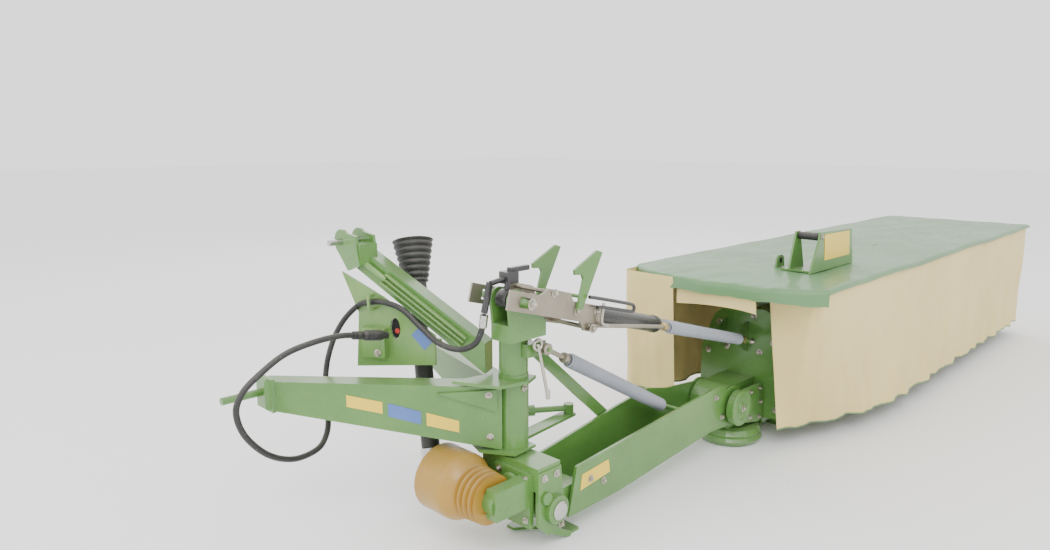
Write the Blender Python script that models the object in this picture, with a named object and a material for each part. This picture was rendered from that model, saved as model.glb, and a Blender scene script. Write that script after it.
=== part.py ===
"""Side-mounted disc mower with its three-point headstock, parked on its foot and its cutterbar.

Metres, +Z up. The origin is on the floor, on the post's axis. +X runs out along the cutterbar,
+Y points forward, towards the tractor.
"""

import math

import bpy
import numpy as np
from mathutils import Matrix, Vector

GAP = 0.0003             # between pieces that touch
RUNNING = 0.0005         # round a pin that turns
CLEAR = 0.006            # between pieces that swing past each other
SIDES = 20               # of a round piece

# Post
POST_R = 0.055
SLEEVE_R = 0.0575
SLEEVE_BOTTOM = 0.335
SLEEVE_TOP = 0.635
KING_PIN_R = 0.040

# Hitch, three-point category 2
HITCH_Y = 0.62
LOWER_PIN_Z = 0.575
LOWER_SPAN = 0.825
LOWER_LEFT_X = -0.70
LOWER_PIN_R = 0.0142
LOWER_PIN_LENGTH = 0.15
TOP_PIN = (-0.29, HITCH_Y, 1.10)
TOP_PIN_R = 0.0127
TOP_PIN_LENGTH = 0.20
LOWER_RIGHT_X = LOWER_LEFT_X + LOWER_SPAN

# Linkage axes, each along Y: (x, z)
ARM_PIVOT = (0.02, 0.148)
FOLD_PIVOT = (1.29, 0.22)
LIFT_TOP = (-0.10, 0.94)
LIFT_LUG = (1.42, 0.52)
RELIEF_TOP = (0.07, 0.73)
RELIEF_ANCHOR = (0.86, 0.30)
STOP_TOP = (0.09, 0.72)
STOP_BOTTOM = (0.60, 0.285)

# Carrying arm
ARM_NEAR_Y = -0.20
ARM_FAR_Y = 0.0
ARM_WALL = 0.012
ARM_TUBE_R = 0.062
EYE_R = 0.10
TRUNNION_R = 0.055
PIVOT_PIN_R = 0.040

# Lift cylinder and its springs
LIFT_Y = -0.07
BARREL_R = 0.036
BARREL_LENGTH = 0.93
ROD_R = 0.016
ROD_INSIDE = 0.20
CYLINDER_EYE_R = 0.028
CYLINDER_EYE_WIDTH = 0.05
CYLINDER_PIN_R = 0.0125
LINK_PLATE_OFFSET = 0.097
LINK_PLATE = 0.008
SPRING_OFFSET = 0.105
SPRING_R = 0.028
SPRING_FROM = 0.865
SPRING_GUIDE_R = 0.008

# Relief spring
RELIEF_Y = -0.10
RELIEF_R = 0.030
RELIEF_SPINDLE = 0.13

# Mower
BAR_Y = -0.11
BAR_WIDTH = 0.18
BAR_BOTTOM = 0.030
BAR_TOP = 0.085
HEAD_X = 1.53
HEAD_WALL = 0.012
SHOE_CENTRE = (1.42, BAR_Y)
SHOE_R = 0.165
DISC_COUNT = 8
DISC_PITCH = 0.395
FIRST_DISC_X = 1.87
DISC_LONG = 0.165
DISC_SHORT = 0.115
BLADE_REACH = 0.230
BLADE_WIDTH = 0.048
COVER_IN = 1.15
COVER_OUT = 4.90
COVER_REAR = -0.63
COVER_FRONT = 0.41
COVER_TOP = 0.855
COVER_WALL = 0.015
SKIRT_BOTTOM = 0.10
SKIRT_WALL = 0.012
NOTCH_OUT = 1.62
NOTCH_REAR = -0.235
NOTCH_FRONT = 0.08
GUARD_HINGE = (0.12, 0.862)
GUARD_IN = 1.31
ROLLER = (1.705, 1.025)

# Drive shaft and its guard cup
INPUT = (-0.205, 0.225)
CUP_BACK = -0.10
CUP_FRONT = 0.19
CUP_R = 0.127
CUP_NECK_R = 0.080
CUP_WALL = 0.005
JOINT_Y = 0.24
BELL_TOP = (-0.05, 0.54, 1.085)

# Breakaway strut
STRUT_ROOT = (0.115, 0.34, 0.345)
STRUT_HEAD = (0.45, 0.12, 0.345)
STRUT_R = 0.018

# Foot
FOOT_LOW = (0.096, -0.187)
FOOT_HIGH = (0.170, -0.030)
FOOT_WALL = 0.012

# Hose
HOSE_R = 0.011
HOSE_ROUTE = [
    (-0.172, -0.030, 0.885), (-0.174, -0.020, 0.835), (-0.178, 0.015, 0.775),
    (-0.183, 0.100, 0.738), (-0.200, 0.200, 0.748), (-0.220, 0.280, 0.800),
    (-0.248, 0.350, 0.858), (-0.279, 0.420, 0.880), (-0.301, 0.477, 0.876),
    (-0.322, 0.530, 0.860), (-0.354, 0.580, 0.806), (-0.388, 0.605, 0.738),
    (-0.420, 0.605, 0.668), (-0.440, 0.600, 0.600), (-0.462, 0.575, 0.520),
    (-0.480, 0.530, 0.443), (-0.515, 0.490, 0.391), (-0.573, 0.460, 0.360),
    (-0.677, 0.440, 0.361), (-0.782, 0.420, 0.415), (-0.863, 0.410, 0.508),
    (-0.894, 0.400, 0.600), (-0.870, 0.400, 0.663), (-0.810, 0.400, 0.712),
    (-0.713, 0.400, 0.765), (-0.610, 0.390, 0.790), (-0.503, 0.380, 0.797),
    (-0.405, 0.385, 0.780),
]
HOSE_POINTS = 72

GREEN = ((0.075, 0.215, 0.045), 0.40, 0.0)
COVER_GREEN = ((0.13, 0.33, 0.12), 0.60, 0.0)
CANVAS = ((0.80, 0.62, 0.27), 0.75, 0.0)
OCHRE = ((0.46, 0.26, 0.03), 0.45, 0.0)
ZINC = ((0.35, 0.31, 0.25), 0.40, 0.9)
SPRING_GREY = ((0.30, 0.33, 0.38), 0.45, 0.6)
BLACK = ((0.02, 0.02, 0.02), 0.50, 0.0)
BARE_STEEL = ((0.50, 0.50, 0.48), 0.30, 1.0)

axes = {}


def scratch(points, faces):
    """A closed mesh object with its faces pointing out."""
    mesh = bpy.data.meshes.new("scratch")
    mesh.from_pydata([tuple(p) for p in points], [], faces)
    mesh.validate()
    obj = bpy.data.objects.new("scratch", mesh)
    bpy.context.scene.collection.objects.link(obj)
    signed = 0.0
    for face in mesh.polygons:
        loop = [mesh.vertices[i].co for i in face.vertices]
        for one, two in zip(loop[1:-1], loop[2:]):
            signed += loop[0].dot(one.cross(two))
    if signed < 0:
        mesh.flip_normals()
    return obj


def loft(loops, closed=False):
    """Loops of equally many points joined in turn, with flat ends unless closed."""
    count = len(loops[0])
    points = [p for loop in loops for p in loop]
    faces = []
    spans = len(loops) if closed else len(loops) - 1
    for k in range(spans):
        low = k * count
        high = (k + 1) % len(loops) * count
        for i in range(count):
            j = (i + 1) % count
            faces.append((low + i, low + j, high + j, high + i))
    if not closed:
        faces.append(tuple(reversed(range(count))))
        faces.append(tuple(range(len(points) - count, len(points))))
    return scratch(points, faces)


def plate_xz(outline, y_low, y_high):
    return loft([[(x, y, z) for x, z in outline] for y in (y_low, y_high)])


def plate_xy(outline, z_low, z_high):
    return loft([[(x, y, z) for x, y in outline] for z in (z_low, z_high)])


def plate_yz(outline, x_low, x_high):
    return loft([[(x, y, z) for y, z in outline] for x in (x_low, x_high)])


def box(low, high):
    corners = [(low[0], low[1]), (high[0], low[1]), (high[0], high[1]), (low[0], high[1])]
    return plate_xy(corners, low[2], high[2])


def frame_along(start, end):
    """Rotation whose Z runs from start to end, moved to start."""
    along = Vector(end) - Vector(start)
    turn = along.to_track_quat("Z", "Y").to_matrix().to_4x4()
    return Matrix.Translation(Vector(start)) @ turn


def turned(profile, start, end, sides=SIDES, ring=False):
    """Profile of (radius, distance) turned about the line from start to end."""
    place = frame_along(start, end)
    loops = []
    for radius, distance in profile:
        angles = [2 * math.pi * k / sides for k in range(sides)]
        loops.append([place @ Vector((radius * math.cos(a), radius * math.sin(a), distance))
                      for a in angles])
    return loft(loops, closed=ring)


def rod(start, end, radius, sides=SIDES):
    length = (Vector(end) - Vector(start)).length
    return turned([(radius, 0.0), (radius, length)], start, end, sides)


def tube(start, end, outer, inner, sides=SIDES):
    length = (Vector(end) - Vector(start)).length
    profile = [(inner, 0.0), (outer, 0.0), (outer, length), (inner, length)]
    return turned(profile, start, end, sides, ring=True)


def bent_rod(route, radius, sides=12):
    """A round bar along a route, mitred at its corners."""
    route = [Vector(p) for p in route]
    legs = [(two - one).normalized() for one, two in zip(route, route[1:])]
    across = legs[0].orthogonal().normalized()
    loops = []
    for k, place in enumerate(route):
        before = legs[max(k - 1, 0)]
        after = legs[min(k, len(legs) - 1)]
        across = (across - before * across.dot(before)).normalized()
        other = before.cross(across)
        plane = (before + after).normalized()
        ring = []
        for a in (2 * math.pi * i / sides for i in range(sides)):
            spoke = (across * math.cos(a) + other * math.sin(a)) * radius
            ring.append(place + spoke - before * (spoke.dot(plane) / before.dot(plane)))
        loops.append(ring)
    return loft(loops)


def cross_rod(centre, y_low, y_high, radius, sides=SIDES):
    """A round bar along Y through an (x, z) centre."""
    return rod((centre[0], y_low, centre[1]), (centre[0], y_high, centre[1]), radius, sides)


def arc(centre, radius, first, last, steps):
    """Points of an arc, angles in degrees."""
    points = []
    for k in range(steps + 1):
        a = math.radians(first + (last - first) * k / steps)
        points.append((centre[0] + radius * math.cos(a), centre[1] + radius * math.sin(a)))
    return points


def on_line(start, end):
    """Function that takes (along, across) to (x, z), along running from start to end."""
    length = math.dist(start, end)
    ux, uz = (end[0] - start[0]) / length, (end[1] - start[1]) / length

    def place(along, across):
        return (start[0] + ux * along - uz * across, start[1] + uz * along + ux * across)

    return place


def body(name, pivot):
    """An empty on a moving body's joint axis, the parent of its pieces."""
    empty = bpy.data.objects.new("axis_" + name, None)
    empty.location = pivot
    bpy.context.scene.collection.objects.link(empty)
    axes[name] = empty


def dress(obj, owner, finish):
    """Material and parent for a finished piece whose mesh is in world coordinates."""
    (red, green, blue), roughness, metallic = finish
    material = bpy.data.materials.new(obj.name)
    material.use_nodes = True
    shader = material.node_tree.nodes["Principled BSDF"]
    shader.inputs["Base Color"].default_value = (red, green, blue, 1.0)
    shader.inputs["Roughness"].default_value = roughness
    shader.inputs["Metallic"].default_value = metallic
    material.diffuse_color = (red, green, blue, 1.0)
    obj.data.materials.clear()
    obj.data.materials.append(material)
    parent = axes[owner]
    obj.data.transform(Matrix.Translation(-Vector(parent.location)))
    obj.parent = parent


def weld(name, owner, finish, adds, cuts=()):
    """One closed piece: the adds joined, then the cuts taken away."""
    base, *others = adds
    for operation, shapes in (("UNION", others), ("DIFFERENCE", cuts)):
        for shape in shapes:
            modifier = base.modifiers.new(operation, "BOOLEAN")
            modifier.operation = operation
            modifier.object = shape
            modifier.solver = "EXACT"
    bpy.context.view_layer.update()
    seen = base.evaluated_get(bpy.context.evaluated_depsgraph_get())
    mesh = bpy.data.meshes.new_from_object(seen)
    for shape in (base, *others, *cuts):
        bpy.data.objects.remove(shape)
    mesh.name = name
    mesh.shade_smooth()
    mesh.set_sharp_from_angle(angle=math.radians(35))
    obj = bpy.data.objects.new(name, mesh)
    bpy.context.scene.collection.objects.link(obj)
    dress(obj, owner, finish)
    return obj


def sleeve():
    outer = tube((0, 0, SLEEVE_BOTTOM), (0, 0, SLEEVE_TOP), SLEEVE_R, KING_PIN_R + 0.005)
    collar = plate_xy([(0.07, -0.05), (0.03, 0.08), (-0.20, 0.12), (-0.12, -0.05), (0.0, -0.08)],
                      SLEEVE_TOP - 0.030, SLEEVE_TOP - 0.018)
    flange = plate_xy([(0.06, -0.06), (0.07, 0.05), (0.02, 0.10), (-0.10, 0.13), (-0.13, 0.05), (-0.06, -0.07)],
                      SLEEVE_BOTTOM + 0.001, SLEEVE_BOTTOM + 0.011)
    bore = rod((0, 0, SLEEVE_BOTTOM - 0.01), (0, 0, SLEEVE_TOP + 0.01), KING_PIN_R + 0.005)
    weld("post_sleeve", "headstock", GREEN, [outer, collar, flange], [bore])


def hitch_beam(inner, outer, width_in, width_out, bottoms, tops):
    """A tapered box beam in plan from inner to outer, with its own heights at each end."""
    direction = (Vector(outer) - Vector(inner)).normalized()
    side = Vector((-direction.y, direction.x))
    loops = []
    ends = zip((inner, outer), (width_in, width_out), bottoms, tops)
    for centre, width, low, high in ends:
        left = Vector(centre) + side * width / 2
        right = Vector(centre) - side * width / 2
        loops.append([(right.x, right.y, low), (left.x, left.y, low),
                      (left.x, left.y, high), (right.x, right.y, high)])
    return loft(loops)


def hitch_frame():
    low = SLEEVE_BOTTOM + 0.011 + GAP
    high = SLEEVE_TOP - 0.030 - GAP
    left = hitch_beam((-0.035, 0.03), (LOWER_LEFT_X + 0.01, HITCH_Y - 0.03), 0.10, 0.075,
                      (low, 0.525), (high - 0.014, 0.632))
    right = hitch_beam((0.0, 0.03), (LOWER_RIGHT_X - 0.02, HITCH_Y), 0.085, 0.065,
                       (low, 0.53), (high - 0.014, 0.62))
    left_end = box((LOWER_LEFT_X, HITCH_Y - 0.085, 0.515), (LOWER_LEFT_X + 0.014, HITCH_Y + 0.035, 0.64))
    right_end = box((LOWER_RIGHT_X - 0.014, HITCH_Y - 0.04, 0.52), (LOWER_RIGHT_X, HITCH_Y + 0.04, 0.63))
    left_pin = rod((LOWER_LEFT_X + 0.01, HITCH_Y, LOWER_PIN_Z),
                   (LOWER_LEFT_X - LOWER_PIN_LENGTH, HITCH_Y, LOWER_PIN_Z), LOWER_PIN_R, 16)
    right_pin = rod((LOWER_RIGHT_X - 0.01, HITCH_Y, LOWER_PIN_Z),
                    (LOWER_RIGHT_X + LOWER_PIN_LENGTH, HITCH_Y, LOWER_PIN_Z), LOWER_PIN_R, 16)
    strut_x, strut_y, strut_z = STRUT_ROOT
    strut_lug = box((strut_x - 0.045, strut_y - 0.02, strut_z - 0.052),
                    (strut_x + 0.02, strut_y + 0.02, strut_z - 0.040))
    strut_web = box((strut_x - 0.045, strut_y - 0.02, strut_z - 0.052),
                    (strut_x - 0.033, strut_y + 0.02, strut_z + 0.125))
    clear = rod((0, 0, 0), (0, 0, 1), SLEEVE_R + GAP)
    weld("hitch_frame", "headstock", GREEN,
         [left, right, left_end, right_end, left_pin, right_pin, strut_lug, strut_web], [clear])


def top_link_beam():
    plan = Vector((-0.426, 0.905))
    start, end = Vector((-0.045, 0.088)), Vector((-0.045, 0.088)) + plan * 0.545
    side = Vector((0.905, 0.426)) * 0.038
    loops = []
    for centre, low, high in ((start, 0.628, 0.745), (end, 1.005, 1.10)):
        loops.append([(centre.x - side.x, centre.y - side.y, low),
                      (centre.x + side.x, centre.y + side.y, low),
                      (centre.x + side.x, centre.y + side.y, high),
                      (centre.x - side.x, centre.y - side.y, high)])
    beam = loft(loops)
    adds = [beam]
    cheek = [(0.50, 1.02), (0.58, 0.99), *arc((HITCH_Y, 1.10), 0.05, -60, 130, 8), (0.52, 1.13)]
    for x in (TOP_PIN[0] - 0.045, TOP_PIN[0] + 0.033):
        adds.append(plate_yz(cheek, x, x + 0.012))
    adds.append(box((TOP_PIN[0] - 0.04, 0.50, 1.02), (TOP_PIN[0] + 0.04, 0.56, 1.10)))
    hole = rod((TOP_PIN[0] - 0.1, *TOP_PIN[1:]), (TOP_PIN[0] + 0.1, *TOP_PIN[1:]),
               TOP_PIN_R + RUNNING, 16)
    weld("top_link_beam", "headstock", GREEN, adds, [hole])
    pin = rod((TOP_PIN[0] - TOP_PIN_LENGTH / 2, *TOP_PIN[1:]),
              (TOP_PIN[0] + TOP_PIN_LENGTH / 2, *TOP_PIN[1:]), TOP_PIN_R, 16)
    weld("top_link_pin", "headstock", ZINC, [pin])


def side_plate():
    """The coupler's plate, on the near side of the top link beam, with the hose's hoop."""
    out = Vector((-0.905, -0.426))
    along = Vector((-0.426, 0.905))
    base = Vector((-0.045, 0.088)) + out * (0.038 + GAP)

    def corner(s, z, off):
        p = base + along * s + out * off
        return (p.x, p.y, z)

    outline = [(0.20, 0.645), (0.545, 0.607), (0.53, 0.826), (0.60, 0.985), (0.42, 0.895), (0.20, 0.76)]
    plate = loft([[corner(s, z, off) for s, z in outline] for off in (0.0, 0.010)])
    hole_outline = [(0.37 + 0.022 * math.cos(a), 0.775 + 0.042 * math.sin(a))
                    for a in np.linspace(0, 2 * math.pi, 17)[:-1]]
    hole = loft([[corner(s, z, off) for s, z in hole_outline] for off in (-0.02, 0.03)])
    shelf = loft([[corner(s, z, off) for s, z in ((0.40, 0.66), (0.50, 0.66), (0.50, 0.775), (0.40, 0.775))]
                  for off in (0.005, 0.045)])
    route = [(0.455, 0.848, 0.002), (0.455, 0.849, 0.044), (0.457, 0.858, 0.053), (0.460, 0.890, 0.053),
             (0.462, 0.901, 0.044), (0.462, 0.902, 0.002)]
    hoop = bent_rod([corner(*p) for p in route], 0.006, 8)
    weld("side_plate", "headstock", GREEN, [plate, shelf, hoop], [hole])


def king_post():
    post = rod((0, 0, SLEEVE_TOP + GAP), (0, 0, 0.854), POST_R, 24)
    pin = rod((0, 0, 0.29), (0, 0, 0.70), KING_PIN_R)
    block = box((-0.13, -0.12, 0.79), (0.05, -0.02, 0.852))
    x, z = LIFT_TOP
    ear = [(-0.125, 0.80), (0.045, 0.80), (0.035, 0.87), *arc((x, z), 0.040, 10, 190, 10)]
    near = plate_xz(ear, LIFT_Y - 0.050, LIFT_Y - 0.038)
    far = plate_xz(ear, LIFT_Y + 0.038, LIFT_Y + 0.050)
    pivot = cross_rod(LIFT_TOP, LIFT_Y - 0.125, LIFT_Y + 0.125, CYLINDER_PIN_R, 16)
    lug = box((-0.01, RELIEF_Y + 0.018, 0.705), (0.048, -0.03, 0.755))
    stub = box((RELIEF_TOP[0] - 0.03, RELIEF_Y + 0.018, 0.705), (RELIEF_TOP[0] + 0.02, RELIEF_Y + 0.030, 0.755))
    relief_pin = cross_rod(RELIEF_TOP, RELIEF_Y - 0.022, RELIEF_Y + 0.024, 0.008, 12)
    stop_lug = box((0.03, 0.030, STOP_TOP[1] - 0.03), (STOP_TOP[0] + 0.02, 0.042, STOP_TOP[1] + 0.03))
    stop_pin = cross_rod(STOP_TOP, 0.004, 0.036, 0.008, 12)
    weld("king_post", "swing_head", GREEN,
         [post, pin, block, near, far, pivot, lug, stub, relief_pin, stop_lug, stop_pin])


def pivot_casting():
    x, z = ARM_PIVOT
    outline = [(-0.07, 0.105), (-0.02, 0.055), (x + 0.03, 0.055), (x + 0.042, 0.10), (x + 0.042, 0.20),
               (0.05, 0.31), (-0.07, 0.31)]
    near = plate_xz(outline, ARM_NEAR_Y, ARM_NEAR_Y + 0.015)
    far = plate_xz(outline, ARM_FAR_Y + 0.004, ARM_FAR_Y + 0.019)
    top = box((-0.07, ARM_NEAR_Y + 0.005, 0.236), (0.05, 0.10, SLEEVE_BOTTOM - 0.008))
    gearbox = box((-0.085, -0.17, 0.09), (-0.065, 0.016, 0.30))
    neck = box((INPUT[0] - 0.04, -0.165, INPUT[1] - 0.05), (-0.06, -0.112, INPUT[1] + 0.06))
    boss = rod((INPUT[0], -0.15, INPUT[1]), (INPUT[0], CUP_BACK - GAP, INPUT[1]), 0.050)
    pin = cross_rod(ARM_PIVOT, ARM_NEAR_Y - 0.016, ARM_FAR_Y + 0.02, PIVOT_PIN_R)
    rim = cross_rod(ARM_PIVOT, ARM_NEAR_Y - 0.010, ARM_NEAR_Y + 0.005, PIVOT_PIN_R + 0.016)
    arm_x, arm_y, arm_z = STRUT_HEAD
    bracket = plate_xy([(-0.02, 0.05), (0.05, 0.045), (arm_x + 0.02, arm_y - 0.025),
                        (arm_x + 0.03, arm_y + 0.02), (arm_x - 0.02, arm_y + 0.03), (-0.02, 0.10)],
                       arm_z - 0.034, arm_z - 0.022)
    weld("pivot_casting", "swing_head", GREEN,
         [top, near, far, gearbox, neck, boss, pin, rim, bracket],
         [rod((0, 0, 0.28), (0, 0, 0.36), KING_PIN_R + GAP)])


def parking_foot():
    sole = plate_xy([(FOOT_LOW[0], FOOT_LOW[1]), (FOOT_HIGH[0], FOOT_LOW[1]), (FOOT_HIGH[0], FOOT_HIGH[1]),
                     (0.10, 0.025), (-0.015, 0.025), (-0.015, -0.012), (0.06, -0.07), (FOOT_LOW[0], -0.10)],
                    0.0, FOOT_WALL)
    near = plate_xz([(-0.01, 0.055 - GAP), (0.098, 0.004), (0.112, 0.004), (0.112, 0.020), (0.048, 0.055 - GAP)],
                    ARM_NEAR_Y + 0.001, ARM_NEAR_Y + 0.014)
    weld("parking_foot", "swing_head", GREEN, [sole, near])


def guard_cup():
    profile = [(CUP_NECK_R, 0.0), (CUP_NECK_R + 0.012, 0.03), (CUP_NECK_R, 0.05), (CUP_NECK_R + 0.022, 0.075),
               (CUP_NECK_R + 0.014, 0.095), (CUP_R - 0.01, 0.125), (CUP_R, 0.16), (CUP_R, CUP_FRONT - CUP_BACK)]
    inner = [(r - CUP_WALL, t) for r, t in reversed(profile)]
    shell = turned(profile + inner, (INPUT[0], CUP_BACK, INPUT[1]), (INPUT[0], CUP_FRONT, INPUT[1]), 28, ring=True)
    weld("shaft_guard_cup", "swing_head", OCHRE, [shell])


def drive_shaft():
    joint = Vector((INPUT[0], JOINT_Y, INPUT[1]))
    top = Vector(BELL_TOP)
    up = (top - joint).normalized()
    fork = rod((INPUT[0], CUP_BACK + 0.004, INPUT[1]), (INPUT[0], JOINT_Y + 0.02, INPUT[1]), 0.030)
    knuckle = rod(joint - up * 0.03, joint + up * 0.09, 0.040)
    weld("shaft_joint", "swing_head", BARE_STEEL, [fork, knuckle])
    lower = turned([(0.036, 0.0), (0.036, 0.40), (0.030, 0.41), (0.030, 0.62)],
                   joint + up * (0.09 + GAP), top, 16)
    weld("shaft_guard_tube", "swing_head", BLACK, [lower])
    start = joint + up * (0.09 + GAP + 0.62 + GAP)
    reach = (top - start).length
    pleats = [(0.040, 0.0), (0.040, 0.03)]
    count = 6
    for k in range(count):
        t = 0.05 + (reach - 0.05) * k / count
        width = 0.055 + 0.030 * k / (count - 1)
        pleats.append((width, t))
        pleats.append((width + 0.006, t + 0.012))
    pleats.append((0.085, reach))
    bell = turned(pleats, start, top, 20)
    bore = rod(start + up * 0.06, top + up * 0.01, 0.045, 16)
    weld("shaft_bell", "swing_head", BLACK, [bell], [bore])


def shutoff_valve():
    block = box((-0.10, -0.075, 0.992), (-0.045, -0.03, 1.035))
    neck = rod((-0.085, -0.055, 1.012), (-0.155, -0.045, 1.000), 0.010, 12)
    elbow = rod((-0.155, -0.042, 1.004), Vector(HOSE_ROUTE[0]) + Vector((0, 0, 0.010)), 0.0125, 12)
    stem = rod((-0.09, -0.065, 1.0), (LIFT_TOP[0] + 0.005, -0.066, 0.9745), 0.012, 12)
    lever = box((-0.075, -0.065, 1.03), (0.02, -0.045, 1.048))
    weld("shutoff_valve", "lift_cylinder", BLACK, [block, neck, elbow, stem, lever])


def carrying_arm():
    kx, kz = ARM_PIVOT
    jx, jz = FOLD_PIVOT
    left = [(kx + 0.075, kz - 0.065), (kx + 0.12, kz + 0.125)]
    near_outline = [left[0], (0.40, 0.085), (1.10, 0.140), (jx - 0.05, jz - 0.09), (jx - 0.05, jz + 0.09),
                    (1.16, 0.350), left[1]]
    far_outline = [left[0], (0.40, 0.085), (1.10, 0.140), (jx - 0.05, jz - 0.09), (jx - 0.05, jz + 0.09),
                   (1.00, 0.335), (0.85, 0.37), (0.63, 0.345), left[1]]
    near = plate_xz(near_outline, ARM_NEAR_Y, ARM_NEAR_Y + ARM_WALL)
    far = plate_xz(far_outline, ARM_FAR_Y - ARM_WALL, ARM_FAR_Y)
    eyes = [cross_rod(FOLD_PIVOT, ARM_NEAR_Y, ARM_NEAR_Y + ARM_WALL, EYE_R, 28),
            cross_rod(FOLD_PIVOT, ARM_FAR_Y - ARM_WALL, ARM_FAR_Y, EYE_R, 28)]
    inner = (ARM_NEAR_Y + 0.005, ARM_FAR_Y - 0.005)
    web = plate_xz([(0.14, 0.100), (0.40, 0.100), (1.09, 0.155), (1.09, 0.170), (0.40, 0.115), (0.14, 0.115)], *inner)
    block = plate_xz([(kx + 0.05, kz - 0.045), (kx + 0.16, kz - 0.050), (kx + 0.16, kz + 0.05), (kx + 0.05, kz + 0.05)],
                     ARM_NEAR_Y + 0.022, ARM_FAR_Y - 0.003)
    cheek = plate_xz([(kx + 0.095, kz - 0.055), (kx + 0.16, kz - 0.055), (kx + 0.16, kz + 0.05), (kx + 0.115, kz + 0.05)],
                     *inner)
    barrel = cross_rod(ARM_PIVOT, ARM_NEAR_Y + 0.021, ARM_FAR_Y - 0.002, ARM_TUBE_R)
    anchor = cross_rod((RELIEF_ANCHOR[0] + 0.012, RELIEF_ANCHOR[1]), *inner, 0.010, 12)
    trunnion = TRUNNION_R + 0.005
    weld("carrying_arm", "carrying_arm", GREEN, [near, far, *eyes, web, block, cheek, barrel, anchor],
         [cross_rod(FOLD_PIVOT, -0.3, 0.1, trunnion), cross_rod(ARM_PIVOT, -0.3, 0.1, PIVOT_PIN_R + RUNNING)])


def stop_link():
    place = on_line(STOP_TOP, STOP_BOTTOM)
    length = math.dist(STOP_TOP, STOP_BOTTOM)
    outline = [place(-0.025, -0.022), place(length - 0.03, -0.030), place(length + 0.025, -0.030),
               place(length + 0.025, 0.020), place(-0.025, 0.022)]
    bar = plate_xz(outline, ARM_FAR_Y + CLEAR, ARM_FAR_Y + CLEAR + 0.010)
    weld("stop_link", "stop_link", GREEN, [bar],
         [cross_rod(STOP_TOP, -0.1, 0.1, 0.008 + RUNNING, 12), cross_rod(STOP_BOTTOM, -0.1, 0.1, 0.010, 12)])


def relief_spring():
    place = on_line(RELIEF_TOP, RELIEF_ANCHOR)
    length = math.dist(RELIEF_TOP, RELIEF_ANCHOR)

    def at(along, across=0.0, y=RELIEF_Y):
        x, z = place(along, across)
        return (x, y, z)

    head = cross_rod(RELIEF_TOP, RELIEF_Y - 0.016, RELIEF_Y + 0.016, 0.022, 16)
    screw = rod(at(0.015), at(RELIEF_SPINDLE), 0.010, 12)
    boss = rod(at(-0.015), at(-0.050), 0.012, 12)
    handle = rod(at(-0.045, 0.0), (place(-0.045, 0)[0] + 0.03, RELIEF_Y - 0.02, place(-0.045, 0)[1] - 0.20), 0.007, 10)
    weld("relief_spindle", "relief_spring", ZINC, [head, screw, boss, handle],
         [cross_rod(RELIEF_TOP, RELIEF_Y - 0.1, RELIEF_Y + 0.1, 0.008 + RUNNING, 12)])
    coil = turned([(0.014, 0.0), (RELIEF_R, 0.03), (RELIEF_R, length - 0.20), (0.016, length - 0.17)],
                  at(RELIEF_SPINDLE + GAP), at(length), 16)
    weld("relief_spring", "relief_spring", SPRING_GREY, [coil])


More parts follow.
